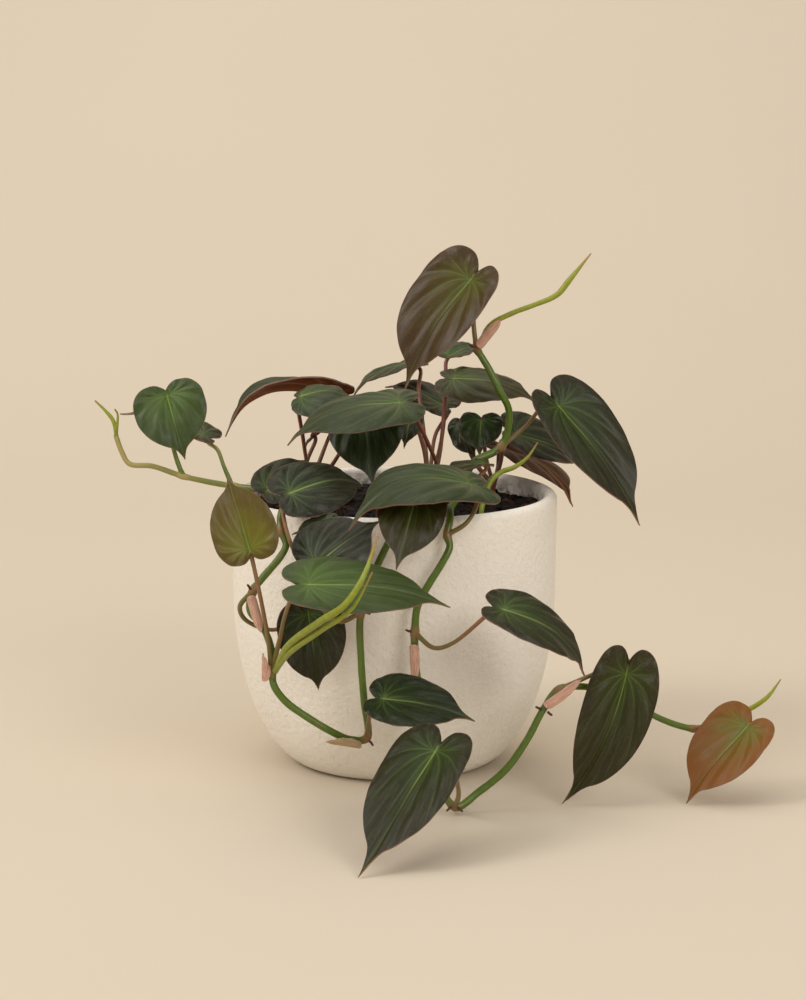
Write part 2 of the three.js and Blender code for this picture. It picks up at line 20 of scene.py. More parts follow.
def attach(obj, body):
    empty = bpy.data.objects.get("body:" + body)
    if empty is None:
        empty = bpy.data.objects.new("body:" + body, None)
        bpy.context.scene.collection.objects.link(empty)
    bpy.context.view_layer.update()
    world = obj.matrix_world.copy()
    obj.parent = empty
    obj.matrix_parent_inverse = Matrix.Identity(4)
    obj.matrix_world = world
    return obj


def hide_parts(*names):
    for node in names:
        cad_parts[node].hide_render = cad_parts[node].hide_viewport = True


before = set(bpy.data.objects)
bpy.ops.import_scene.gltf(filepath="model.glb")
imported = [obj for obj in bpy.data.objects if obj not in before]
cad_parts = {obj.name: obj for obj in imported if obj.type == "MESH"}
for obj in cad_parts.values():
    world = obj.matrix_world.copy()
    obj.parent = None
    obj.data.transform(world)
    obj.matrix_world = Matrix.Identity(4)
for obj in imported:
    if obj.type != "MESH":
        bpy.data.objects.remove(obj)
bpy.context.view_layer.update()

MM = 0.001
random.seed(11)

# %% [markdown]
# ## Where every leaf, stem, new leaf and sheath lies
#
# These are the CAD model's own values, apart from the face of leaf_04, which is turned a little towards the
# viewer so that the red-brown underside shows. A blade's base is where its stalk joins it, its tip is the
# drip tip, and its face is the way the velvet side looks. Bow lifts the midrib at a third and two thirds of
# its length, sway bends it sideways there, fold raises both halves, and curl bends them down again. A shoot
# with a foot stands in the soil there, and its radii go from its start to its end.

# %%
STALK = [1.2, 0.9, 0.95]

LEAF_COLUMNS = ("base", "tip", "face", "width", "bow", "fold", "curl", "kind", "sway")
LEAF_ROWS = {
    "leaf_01": [(32, -20, 197), (4, -30, 153), (-0.45, -0.76, 0.46), 36, (1, 3), 24, -18, "bronze", (-3, -2)],
    "leaf_02": [(-89, -12, 150), (-81, -21, 124), (0, -1, 0.3), 29, (1, 3), 20, -24, "bright"],
    "leaf_03": [(-74, 6, 129), (-110, 14, 138), (0.2, -0.15, 1), 24, (2, 3), 14, -20, "dark"],
    "leaf_04": [(-22, 23, 144), (-68, 10, 129), (0, 0.08, 1), 24, (8, 18), 34, -10, "teal"],
    "leaf_05": [(-38, -6, 147), (-16, -8, 147), (0.05, -0.4, 0.92), 24, (3, 4), -6, -24, "teal"],
    "leaf_06": [(-33, 16, 128), (-18, 32, 138), (-0.3, 0.5, 0.7), 20, (2, 3), 10, -20, "olive"],
    "leaf_07": [(6, -30, 148), (-41, -34, 132), (-0.18, -0.3, 0.94), 36, (6, 9), 6, -30, "teal"],
    "leaf_08": [(10, 36, 155), (-17, 30, 143), (-0.4, -0.05, 1), 24, (4, 5), 10, -20, "teal"],
    "leaf_09": [(21, 18, 160), (35, 30, 163), (-0.14, -0.3, 0.95), 16, (1, 2), 15, -10, "teal"],
    "leaf_10": [(21, 5, 153), (57, 0, 144), (0.17, -0.38, 0.9), 28, (4, 5), 6, -36, "olive"],
    "leaf_11": [(22, 30, 138), (-4, 44, 145), (0, -0.35, 0.9), 20, (2, 4), 10, -20, "olive"],
    "leaf_12": [(35, 14, 136), (34, 3, 122), (-0.1, -0.75, 0.62), 18, (1, 2), 14, -20, "dark"],
    "leaf_13": [(27, 22, 134), (33, 15, 119), (-0.5, -0.8, 0.3), 14, (1, 2), 10, -20, "dark"],
    "leaf_14": [(46, 11, 131), (78, 22, 114), (0.5, -0.4, 0.76), 27, (2, 4), 12, -14, "dark"],
    "leaf_15": [(62, -10, 147), (96, -25, 99), (0.42, -0.76, 0.5), 32, (2, 5), 24, -20, "dark", (1, 0)],
    "leaf_16": [(44, 28, 123), (75, 48, 94), (0.7, 0.6, 0.6), 26, (4, 8), 10, -30, "olive"],
    "leaf_17": [(32, -65, 121), (-17, -80, 107), (-0.07, -0.3, 0.95), 36, (13, 16), 10, -30, "teal"],
    "leaf_18": [(-12, -8, 144), (-8, -28, 115), (-0.1, -0.84, 0.5), 30, (1, 3), 12, -20, "olive"],
    "leaf_19": [(-41, -62, 117), (-11, -40, 117), (0.37, -0.48, 0.8), 27, (6, 7), 6, -24, "dark"],
    "leaf_20": [(-50, -25, 112), (-33, -10, 123), (0.1, -0.7, 0.7), 18, (1, 2), 10, -20, "dark"],
    "leaf_21": [(-22, -66, 108), (-38, -66, 103), (-0.3, -0.75, 0.6), 8, (1, 1), 10, -20, "teal"],
    "leaf_22": [(-30, -82, 94), (-5, -75, 110), (-0.2, -0.66, 0.72), 32, (0, 0), 8, -12, "dark"],
    "leaf_23": [(9, -70, 120), (1, -90, 94), (0.1, -0.75, 0.6), 25, (3, 4), 10, -20, "olive"],
    "leaf_24": [(-34, -107, 92.5), (21, -98, 82.5), (0.08, -0.52, 0.85), 28, (4, 5), 10, -20, "bright"],
    "leaf_25": [(-32, -70, 76), (-28, -70, 44), (0.15, -0.97, -0.16), 27, (1, 3), 26, -16, "olive"],
    "leaf_26": [(-52, -84, 99), (-61, -76, 127), (0.05, -0.97, 0.25), 25, (1, 2), 22, -16, "bronze"],
    "leaf_27": [(-6, -92, 47), (30, -98, 40), (0.08, -0.6, 0.8), 24, (3, 3), 12, -20, "bright"],
    "leaf_28": [(17, -118, 37), (-12, -159, 1), (-0.2, -0.58, 0.79), 31, (3, 2), 16, -18, "dark", (1, 3)],
    "leaf_29": [(37, -92, 81), (71, -88, 54), (0.47, -0.42, 0.77), 26, (8, 9), 12, -24, "dark"],
    "leaf_30": [(88, -70, 55), (63, -74, 1), (-0.05, -0.99, 0.08), 28, (1, 3), 28, -20, "dark", (5, 6)],
    "leaf_31": [(136, -58, 29), (110, -72, 1), (-0.3, -0.72, 0.6), 28, (2, 3), 20, -14, "young"],
    "leaf_32": [(36, -22, 123), (18, -34, 122), (-0.1, -0.3, 0.95), 9, (1, 1), 10, -20, "olive"],
    "leaf_33": [(7, 0, 141), (4, -10, 127), (0, -0.8, 0.5), 11, (1, 2), 10, -20, "dark"],
}
LEAVES = {name: dict(zip(LEAF_COLUMNS, row)) for name, row in LEAF_ROWS.items()}

STEMS = {
    "stem_climbing": [
        {"foot": [22, -24], "way": [[25, -18, 109], [31, -15, 122], [42, -12, 128], [45, -14, 142],
         [41, -16, 151], [37, -15, 159], [32, -14, 167]], "radii": [1.6, 1.6, 1.7, 1.5, 1.5]},
        {"way": [[42, -12, 128], [52, -9, 136], [57, -8, 142]], "leaf": "leaf_15"},
        {"way": [[32, -14, 167], [31, -12, 178], [32, -14, 190]], "leaf": "leaf_01"},
        {"way": [[25, -18, 109], [30, -22, 115]], "leaf": "leaf_32"},
    ],
    "stem_left": [
        {"foot": [-32, -16], "way": [[-37, -18, 107], [-44, -20, 111], [-52, -18, 112], [-67, -12, 113],
         [-83, -10, 116], [-95, -10, 120], [-104, -10, 121], [-107, -10, 126], [-109, -10, 132]],
         "radii": [1.4, 1.4, 1.2, 1.1]},
        {"way": [[-63, -14, 112], [-67, -6, 119], [-70, 0, 125]], "leaf": "leaf_03"},
        {"way": [[-83, -10, 116], [-86, -8, 124], [-89, -8, 138]], "leaf": "leaf_02"},
    ],
    "stem_trailing": [
        {"foot": [20, -40], "way": [[20, -48, 108], [21, -58, 111.5], [21, -65, 108], [20, -67, 103],
         [21, -69, 99], [18, -71, 93], [13, -72, 85], [9, -72, 77], [8, -72, 67], [8, -72, 58],
         [9, -73, 49], [12, -74, 34], [16, -77, 14], [23, -83, 3], [32, -80, 8], [42, -78, 16],
         [50, -76, 27], [56, -74, 38], [62, -71, 45], [78, -66, 44], [89, -62, 39], [100, -58, 31],
         [115, -53, 25], [126, -48, 25]], "radii": [1.5, 1.5, 1.6, 1.6, 1.5, 1.4, 1.3]},
        {"way": [[20, -67, 103], [27, -70, 108], [31, -66, 114]], "leaf": "leaf_17"},
        {"way": [[8, -72, 67], [15, -80, 63], [22, -85, 66]], "leaf": "leaf_29"},
        {"way": [[23, -83, 3], [24, -95, 12], [21, -108, 28]], "leaf": "leaf_28"},
        {"way": [[62, -71, 45], [72, -69, 49], [82, -67, 53]], "leaf": "leaf_30"},
        {"way": [[115, -53, 25], [125, -52, 27]], "leaf": "leaf_31"},
    ],
    "stem_hanging": [
        {"foot": [1, -44], "way": [[1, -50, 108], [1, -56, 111], [1, -62, 112.5], [0, -67, 110],
         [-1, -69, 103], [-6, -71, 92], [-12, -73, 75], [-12, -74, 57], [-11, -74, 42], [-10, -74, 27],
         [-16, -76, 27], [-22, -78, 30], [-34, -80, 38], [-40, -81, 43], [-44, -82, 49], [-45, -81, 54]],
         "radii": [1.5, 1.5, 1.5, 1.5]},
        {"foot": [-27, -36], "way": [[-31, -43, 108], [-35, -50, 113], [-39, -55, 113.5], [-42, -60, 110],
         [-42, -63, 104], [-40, -66, 99], [-42, -68, 95], [-49, -71, 87], [-52, -73, 83], [-53, -75, 76],
         [-48, -78, 70], [-45, -80, 62], [-45, -81, 54]], "radii": [1.4, 1.4, 1.5, 1.5]},
        {"way": [[-42, -63, 104], [-46, -65, 101], [-49, -66, 99]], "radii": [1.2, 0.7]},
        {"way": [[-45, -81, 54], [-42, -84, 66], [-39, -95, 79]], "leaf": "leaf_24"},
        {"way": [[-45, -81, 54], [-46, -82, 66], [-49, -83, 84]], "leaf": "leaf_26"},
        {"way": [[-12, -73, 75], [-20, -76, 72], [-27, -76, 78]], "leaf": "leaf_22"},
        {"way": [[-12, -73, 75], [-24, -72, 84], [-37, -70, 98]], "leaf": "leaf_19"},
        {"way": [[-12, -73, 75], [-22, -71, 86], [-26, -70, 98]], "leaf": "leaf_21"},
        {"way": [[-10, -74, 27], [-9, -80, 36], [-8, -88, 43]], "leaf": "leaf_27"},
        {"way": [[-52, -73, 83], [-57, -72, 77], [-55, -69, 71], [-44, -67, 67]], "leaf": "leaf_25"},
    ],
    "stalks_left": [
        {"foot": [-35, 4], "way": [[-34, 4, 110], [-36, 3, 128]], "leaf": "leaf_05"},
        {"way": [[-34, 4, 106], [-35, 10, 118]], "leaf": "leaf_06"},
        {"way": [[-34, 4, 108], [-27, 14, 126], [-22, 20, 137]], "leaf": "leaf_04"},
        {"way": [[-34, 4, 106], [-42, -6, 108], [-47, -17, 107]], "leaf": "leaf_20"},
        {"way": [[-34, 4, 106], [-24, -2, 120], [-15, -6, 136]], "leaf": "leaf_18"},
    ],
    "stalks_middle": [
        {"foot": [14, 2], "way": [[14, 2, 108], [17, -3, 118], [14, -12, 128], [9, -22, 140]],
         "leaf": "leaf_07"},
        {"way": [[14, 2, 108], [12, 12, 130], [10, 24, 146]], "leaf": "leaf_08"},
        {"way": [[14, 2, 108], [19, 8, 128], [21, 14, 148]], "leaf": "leaf_09"},
        {"way": [[14, 2, 108], [18, 2, 122], [20, 4, 142]], "leaf": "leaf_10"},
        {"way": [[14, 2, 108], [15, 14, 118], [17, 25, 128]], "leaf": "leaf_11"},
        {"way": [[14, 2, 108], [12, 4, 124]], "leaf": "leaf_33"},
    ],
    "stalks_right": [
        {"foot": [40, 16], "way": [[40, 16, 108], [37, 17, 120], [36, 18, 130]],
         "leaf": "leaf_12"},
        {"way": [[40, 16, 108], [32, 22, 118], [28, 30, 130]], "leaf": "leaf_13"},
        {"way": [[40, 16, 108], [43, 14, 118]], "leaf": "leaf_14"},
        {"way": [[40, 16, 108], [42, 22, 114]], "leaf": "leaf_16"},
    ],
    "stalk_front": [
        {"foot": [-6, -30], "way": [[-5, -34, 108], [-2, -46, 114], [5, -60, 119]],
         "leaf": "leaf_23"},
    ],
}

SPEARS = {
    "spear_top": [
        {"way": [[34, -16.5, 170], [37, -17, 176], [46, -17, 181], [54, -17, 184], [63, -17, 188],
         [68, -17, 194], [76, -17, 204]], "radii": [1.1, 1.3, 1.2, 1.5, 0.3]},
    ],
    "spear_front": [
        {"way": [[-43, -84.8, 56], [-38, -99, 68], [-26, -117, 80.8], [-17, -126, 88.8], [-12, -127, 95.8],
         [-9, -125, 101.8], [-5, -118, 112.8]], "radii": [1.4, 1.7, 1.7, 1.7, 1.3, 0.3]},
        {"way": [[-43, -84.8, 56], [-37, -99, 66], [-25, -115, 77.8], [-14, -125, 87.8], [-7, -126, 100.8]],
         "radii": [1.2, 1.4, 1.3, 0.3]},
    ],
    "spear_right": [
        {"way": [[127.5, -47.5, 26.5], [136, -48, 31], [143, -51, 37], [148, -51, 44]],
         "radii": [1.2, 1.3, 1.1, 0.3]},
    ],
    "spear_crown": [
        {"foot": [34, -26], "way": [[35, -24, 109], [38, -20, 116], [42, -18, 119], [47, -19, 121],
         [52, -20, 125], [56, -20, 131]], "radii": [1.1, 1.2, 1.5, 1.2, 0.3]},
    ],
    "spear_left": [
        {"way": [[-109, -10, 133], [-110, -10, 138], [-113, -10, 142], [-117, -10, 146]],
         "radii": [1, 1, 0.4]},
        {"way": [[-109, -10, 133], [-108, -12, 141], [-109, -13, 143]], "radii": [1, 0.7, 0.4]},
    ],
}

SHEATHS = {
    "sheath_top": {"from": [32.5, -17, 168], "to": [41, -18, 179], "face": [0.1, -1, 0]},
    "sheath_trailing": {"from": [8, -72, 63], "to": [9, -73, 49], "face": [-0.3, -1, 0]},
    "sheath_right": {"from": [57, -75.5, 39], "to": [71, -72.5, 48], "face": [-0.3, -0.8, 0.5]},
    "sheath_left": {"from": [-53, -74, 82], "to": [-49, -78, 69], "face": [0.1, -1, 0]},
    "sheath_front": {"from": [-46, -81, 51], "to": [-45, -82, 62], "face": [-0.8, -0.6, 0]},
    "sheath_dry": {"from": [-12, -76, 26], "to": [-25, -80, 30], "face": [0, -0.8, -0.5]},
}
print("blades", len(LEAVES), "stems", len(STEMS), "new leaves", len(SPEARS), "sheaths", len(SHEATHS))

# %% [markdown]
# ## Small helpers
#
# Colours are written as sRGB codes and turned into linear light. One function adds a shader node with its
# settings and links. Another lays a colour over the one so far, wherever a value lies within its marks,
# because every skin here is a few such layers. The last step of a material links its colour and its bump.
# The rest select, copy, join and smooth meshes, so that each operator works on one known piece.

# %%
def linear(code):
    parts = [int(code[i : i + 2], 16) / 255 for i in (1, 3, 5)]
    return tuple(c / 12.92 if c <= 0.04045 else ((c + 0.055) / 1.055) ** 2.4 for c in parts) + (1.0,)


def add(tree, kind, settings=None, links=None):
    """Adds a node. A setting is a socket's name or number, or else a property of the node."""
    node = tree.nodes.new("ShaderNode" + kind)
    for key, value in (settings or {}).items():
        if isinstance(key, int) or key in node.inputs:
            node.inputs[key].default_value = value
        else:
            setattr(node, key, value)
    for key, output in (links or {}).items():
        tree.links.new(output, node.inputs[key])
    return node


def material(name, **sockets):
    """A new material, with its nodes, its shader and the place on the object in metres."""
    made = bpy.data.materials.new(name)
    made.use_nodes = True
    shader = made.node_tree.nodes["Principled BSDF"]
    for key, value in sockets.items():
        shader.inputs[key.replace("_", " ")].default_value = value
    coords = add(made.node_tree, "TexCoord").outputs["Object"]
    return made, made.node_tree, shader, coords

# %%
def over(tree, colour, value, full, gone, amount, code, fade=None):
    """Another colour over this one: by the amount where the value is at full, not at all from gone on."""
    marks = {"From Min": full, "From Max": gone, "To Min": amount, "To Max": 0.0}
    share = add(tree, "MapRange", marks, {"Value": value}).outputs[0]
    if fade:
        share = add(tree, "Math", {"operation": "MULTIPLY"}, {0: share, 1: fade}).outputs[0]
    return add(tree, "Mix", {"data_type": "RGBA", 7: linear(code)}, {0: share, 6: colour}).outputs[2]


def finish(tree, shader, colour, height=None, strength=0.0, depth=0.0):
    """Gives the shader its colour, and a bump whose depth is in millimetres."""
    tree.links.new(colour, shader.inputs["Base Color"])
    if height:
        bump = add(tree, "Bump", {"Strength": strength, "Distance": depth * MM}, {"Height": height})
        tree.links.new(bump.outputs[0], shader.inputs["Normal"])

# %%
def only(piece):
    bpy.ops.object.select_all(action="DESELECT")
    piece.select_set(True)
    bpy.context.view_layer.objects.active = piece


def copy_of(master, name):
    piece = bpy.data.objects.new(name, master.data.copy())
    bpy.context.scene.collection.objects.link(piece)
    return piece


def joined(pieces, name):
    bpy.ops.object.select_all(action="DESELECT")
    for piece in pieces:
        piece.select_set(True)
    bpy.context.view_layer.objects.active = pieces[0]
    if len(pieces) > 1:
        bpy.ops.object.join()
    pieces[0].name = pieces[0].data.name = name
    return pieces[0]


def smooth(piece, degrees):
    only(piece)
    bpy.ops.object.shade_smooth_by_angle(angle=math.radians(degrees))


def keep(piece, node):
    """The piece belongs to the one rigid body, and stands for its CAD node if it has one."""
    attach(piece, "root")
    if node:
        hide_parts(node)
    print(piece.name, len(piece.data.vertices), "points")


def share_between(values, share):
    """The value at a share from 0 to 1 along a list of evenly spaced ones."""
    at = share * (len(values) - 1)
    low = min(int(at), len(values) - 2)
    return values[low] + (values[low + 1] - values[low]) * (at - low)


# %% [markdown]
# ## Pot
#
# The pot is thrown and fired clay without glaze: one wall 5.4 mm thick that rises out of a flat foot in a
# wide rounded corner and ends in a soft round rim. A thrown pot is raised ring by ring, so its mesh is too: a
# disc is extruded and resized up the outside, over the rim and down the inside, which leaves one closed body.

# %%
POT_HEIGHT = 108.5
RIM_RADIUS = 65
WALL = 5.4
FOOT_RADIUS = 36
FLOOR_THICKNESS = 8
CORNER_HEIGHT = 66
CORNER_RADIUS = 64.3
CORNER_POWER = 1.84
POT_SIDES = 176
CORNER_STEPS = 28
WALL_STEPS = 6
RIM_STEPS = 14
GAP = 0.4  # between the soil and the wall


def corner(foot_radius, top_radius, foot_height, steps):
    rings = []
    for i in range(steps + 1):
        angle = math.pi / 2 * i / steps
        out = math.sin(angle) ** (2 / CORNER_POWER)
        up = 1 - math.cos(angle) ** (2 / CORNER_POWER)
        rings.append(
            (foot_radius + (top_radius - foot_radius) * out, foot_height + (CORNER_HEIGHT - foot_height) * up)
        )
    return rings


def raised(name, sides, rings):
    """A closed turned body: a disc at the first (radius, height), extruded through all the others."""
    bpy.ops.object.select_all(action="DESELECT")
    radius, height = rings[0]
    bpy.ops.mesh.primitive_circle_add(
        vertices=sides, radius=radius * MM, fill_type="NGON", location=(0, 0, height * MM)
    )
    piece = bpy.context.object
    piece.name = piece.data.name = name
    bpy.ops.object.transform_apply(location=True)
    bpy.ops.object.mode_set(mode="EDIT")
    bpy.ops.mesh.select_all(action="SELECT")
    for next_radius, next_height in rings[1:]:
        bpy.ops.mesh.extrude_region_move(
            TRANSFORM_OT_translate={"value": (0, 0, (next_height - height) * MM)}
        )
        share = next_radius / radius
        bpy.ops.transform.resize(value=(share, share, 1))
        radius, height = next_radius, next_height
    bpy.ops.mesh.select_all(action="SELECT")
    bpy.ops.mesh.normals_make_consistent(inside=False)
    bpy.ops.object.mode_set(mode="OBJECT")
    return piece

# %%
half = WALL / 2
outside = corner(FOOT_RADIUS, CORNER_RADIUS, 0, CORNER_STEPS)
straight = POT_HEIGHT - half - CORNER_HEIGHT
shares = [i / WALL_STEPS for i in range(1, WALL_STEPS)]
wall_up = [(CORNER_RADIUS + (RIM_RADIUS - CORNER_RADIUS) * s, CORNER_HEIGHT + straight * s) for s in shares]
turns = [math.pi * i / RIM_STEPS for i in range(RIM_STEPS + 1)]
rim = [(RIM_RADIUS - half + half * math.cos(a), POT_HEIGHT - half + half * math.sin(a)) for a in turns]
inside = corner(FOOT_RADIUS - WALL, CORNER_RADIUS - WALL, FLOOR_THICKNESS, 12)[::-1]
pot = raised("pot_unglazed_ceramic", POT_SIDES, outside + wall_up + rim + inside[:-1])
print("pot rings", len(outside + wall_up + rim + inside))

# %% [markdown]
# A thrown wall is never quite even. Each point moves in by up to a fifth of a millimetre along slow waves,
# and only inwards, so the pot keeps its size. The foot stays flat.

# %%
UNEVEN = 0.22
for point in pot.data.vertices:
    place = point.co / MM
    if place.z > 2:
        slow = noise.noise(Vector((place.x / 26, place.y / 26, place.z / 15))) * 0.5 + 0.5
        share = 1 - UNEVEN * slow / math.hypot(place.x, place.y)
        point.co.x *= share
        point.co.y *= share
smooth(pot, 40)

# %% [markdown]
# Unglazed cream clay: the eye sees a chalky, fine sandy skin with darker grains and faint cloudy patches
# from the kiln. The inside of the wall is darker in patches just above the soil, fading towards the rim.
# Roughness is high and even. The bump is grains of 0.7 mm on soft pebbles of 2.3 mm, a little coarser than
# the real ones, which would be too fine to show.

# %%
clay, tree, shader, coords = material(
    "unglazed_cream_clay", Roughness=0.86, Specular_IOR_Level=0.25, Sheen_Weight=0.08, Sheen_Roughness=0.6
)
clouds = add(tree, "TexNoise", {"Scale": 38.0, "Detail": 4.0, "Roughness": 0.6}, {"Vector": coords})
grains = add(tree, "TexNoise", {"Scale": 1500.0, "Detail": 3.0, "Roughness": 0.7}, {"Vector": coords})
grit = add(tree, "TexVoronoi", {"Scale": 620.0, "Randomness": 1.0}, {"Vector": coords})
patch = add(
    tree, "Mix", {"data_type": "RGBA", 6: linear("#efe7da"), 7: linear("#f8f3ea")}, {0: clouds.outputs["Fac"]}
)
sandy = over(tree, patch.outputs[2], grains.outputs["Fac"], 0.72, 0.56, 0.35, "#c3af90")
specked = over(tree, sandy, grit.outputs["Distance"], 0.05, 0.16, 0.35, "#a88f6c")

# The inside of the wall is darker in patches just above the soil, fading out towards the rim.
height = add(tree, "SeparateXYZ", {}, {0: coords})
level = add(tree, "CombineXYZ", {}, {0: height.outputs["X"], 1: height.outputs["Y"]})
from_axis = add(tree, "VectorMath", {"operation": "LENGTH"}, {0: level.outputs[0]})
inner_darkening = None
for output, unchanged_at, darkest_at in (
    (height.outputs["Z"], 109, 101), (height.outputs["Z"], 95, 97), (from_axis.outputs["Value"], 61.6, 60.4)
):
    marks = {"From Min": unchanged_at * MM, "From Max": darkest_at * MM}
    mask = add(tree, "MapRange", marks, {"Value": output}).outputs[0]
    inner_darkening = add(tree, "Math", {"operation": "MULTIPLY"}, {0: mask, 1: inner_darkening}).outputs[0] if inner_darkening else mask
inner_patches = add(tree, "TexNoise", {"Scale": 170.0, "Detail": 6.0, "Roughness": 0.75}, {"Vector": coords})
darkened_inside = over(tree, specked, inner_patches.outputs["Fac"], 0.56, 0.42, 0.9, "#3a2d20", inner_darkening)
pebbled = add(tree, "TexNoise", {"Scale": 430.0, "Detail": 2.0}, {"Vector": coords})
skin = add(
    tree, "Math", {"operation": "MULTIPLY_ADD", 1: 0.4}, {0: grains.outputs["Fac"], 2: pebbled.outputs["Fac"]}
)
finish(tree, shader, darkened_inside, skin.outputs[0], 1.0, 0.7)
pot.data.materials.append(clay)
keep(pot, "pot")

# %% [markdown]
# ## Soil
#
# Damp, peaty potting soil fills the pot to just under its rim: a nearly black crumb with lumps of 1 to 4 mm
# and a few reddish bits of bark. The body is raised in rings like the pot, its top is roughened, and loose
# crumbs lie on it as real lumps, because their little shadows are what makes soil look loose.

# %%
SOIL_TOP = 102
SOIL_BUMP = 0.9
SOIL_SIDES = 150
SOIL_RINGS = 60
CRUMBS = 520
CRUMB_SIZES = (0.5, 0.7, 0.9, 1.2, 1.8)
SOIL_EDGE = RIM_RADIUS - WALL - GAP


def soil_height(x, y):
    wave = math.sin(x / 7 + 1) * math.cos(y / 9) + math.sin((x + y) / 5) * 0.6
    return SOIL_TOP + SOIL_BUMP * wave


soil_rings = corner(FOOT_RADIUS - WALL - GAP, CORNER_RADIUS - WALL - GAP, FLOOR_THICKNESS + GAP, 10)
soil_rings += [(SOIL_EDGE, SOIL_TOP)] + [
    (SOIL_EDGE * (1 - i / (SOIL_RINGS + 2)), SOIL_TOP) for i in range(1, SOIL_RINGS + 1)
]
soil = raised("soil_dark_peaty", SOIL_SIDES, soil_rings)
for point in soil.data.vertices:
    x, y, z = point.co / MM
    if z > SOIL_TOP - 1:
        lumps = noise.noise(Vector((x / 3.2, y / 3.2, 3))) * 1.1
        lumps += noise.noise(Vector((x / 1.3, y / 1.3, 9))) * 0.6
        point.co.z = (soil_height(x, y) + lumps) * MM
smooth(soil, 60)
print("soil rings", len(soil_rings))

# %%
bpy.ops.mesh.primitive_ico_sphere_add(subdivisions=2, radius=MM)
crumb_master = bpy.context.object
crumbs = []
for i in range(CRUMBS):
    angle, radius = random.uniform(0, 2 * math.pi), (SOIL_EDGE - 2) * math.sqrt(random.random())
    x, y = radius * math.cos(angle), radius * math.sin(angle)
    size = random.choice(CRUMB_SIZES)
    crumb = copy_of(crumb_master, "crumb")
    middle = Vector((x, y, soil_height(x, y) + size * 0.35))
    stretch = Vector((random.uniform(0.7, 1.3), random.uniform(0.7, 1.3), random.uniform(0.5, 0.9)))
    for point in crumb.data.vertices:
        way = point.co.normalized()
        rough = 1 + 0.35 * noise.noise(way * 2.1 + Vector((i, 0, 0)))
        out = Vector((way.x * stretch.x, way.y * stretch.y, way.z * stretch.z))
        point.co = (middle + out * size * rough) * MM
    crumbs.append(crumb)
bpy.data.objects.remove(crumb_master)
soil = joined([soil] + crumbs, "soil_dark_peaty")
print("crumbs", len(crumbs))

# %%
peat, tree, shader, coords = material("damp_peaty_soil", Roughness=0.92, Specular_IOR_Level=0.3)
lump = add(tree, "TexNoise", {"Scale": 420.0, "Detail": 6.0, "Roughness": 0.75}, {"Vector": coords})
bark = add(tree, "TexVoronoi", {"Scale": 230.0}, {"Vector": coords})
tone = add(
    tree, "Mix", {"data_type": "RGBA", 6: linear("#080604"), 7: linear("#1e150e")}, {0: lump.outputs["Fac"]}
)
red = add(tree, "SeparateColor", {}, {0: bark.outputs["Color"]})
flecked = over(tree, tone.outputs[2], red.outputs[0], 0.96, 0.93, 0.7, "#5a3420")
finish(tree, shader, flecked, lump.outputs["Fac"], 0.8, 0.5)
soil.data.materials.append(peat)
keep(soil, "soil")

# %% [markdown]
# ## One flat blade
#
# A heart-shaped blade is a thin sheet whose side veins fan out from where the stalk joins and arch to the
# margin. A disc of rings is modelled once: its outer ring becomes the margin, its spokes follow the veins,
# and its middle is the joint with the stalk. Every leaf is a copy of it with its own bends.

# %%
SPOKES = 120
RINGS = 24
RIB_START = 0.07
VEIN_BEND = (0.2, 0.74)
HEART = [
    [(0, 0), (-0.06, 0.1), (-0.1, 0.2), (-0.1, 0.38), 2],
    [(-0.1, 0.38), (-0.1, 0.74), (0.02, 1), (0.24, 1), 3],
    [(0.24, 1), (0.51, 1.02), (0.69, 0.72), (0.8, 0.27), 3],
    [(0.8, 0.27), (0.85, 0.1), (0.92, 0.05), (1, 0), 2],
]
BOAT = [
    [(0, 0), (0, 0.3), (0.04, 0.55), (0.16, 0.64), 4],
    [(0.16, 0.64), (0.45, 0.8), (0.8, 0.4), (1, 0), 6],
]
VEIN_SPOKES = (6, 14, 22, 31, 40, 48)


def bezier(points, share):
    """A point on the Bezier curve with these control points, by halving towards the share."""
    points = [Vector(point) for point in points]
    while len(points) > 1:
        points = [a.lerp(b, share) for a, b in zip(points, points[1:])]
    return points[0]


def margin(outline):
    """One half of the margin from the notch to the tip, as SPOKES / 2 + 1 points (along, across)."""
    pieces = [(curve[:4], curve[4] * SPOKES // 20) for curve in outline]
    points = [bezier(curve, i / steps) for curve, steps in pieces for i in range(steps)]
    return points + [Vector((1, 0))]


bpy.ops.object.select_all(action="DESELECT")
bpy.ops.mesh.primitive_circle_add(vertices=SPOKES, radius=1, fill_type="NOTHING")
disc = bpy.context.object
bpy.ops.object.mode_set(mode="EDIT")
bpy.ops.mesh.select_all(action="SELECT")
for ring in range(RINGS - 1, 0, -1):
    bpy.ops.mesh.extrude_region_move()
    bpy.ops.transform.resize(value=(ring / (ring + 1), ring / (ring + 1), 1))
bpy.ops.mesh.extrude_region_move()
bpy.ops.mesh.merge(type="CENTER")
bpy.ops.mesh.select_all(action="SELECT")
bpy.ops.mesh.normals_make_consistent(inside=False)
bpy.ops.object.mode_set(mode="OBJECT")
if disc.data.polygons[0].normal.z < 0:
    bpy.ops.object.mode_set(mode="EDIT")
    bpy.ops.mesh.flip_normals()
    bpy.ops.object.mode_set(mode="OBJECT")
print("blade disc", len(disc.data.vertices), "points", "faces up", disc.data.polygons[0].normal.z)


# %% [markdown]
# Each point of the disc is named by its spoke and ring. The flat shape gives it a place along and across the
# blade. A side vein runs on every eighth spoke or so, and each point keeps how far in the vein pattern it
# lies.

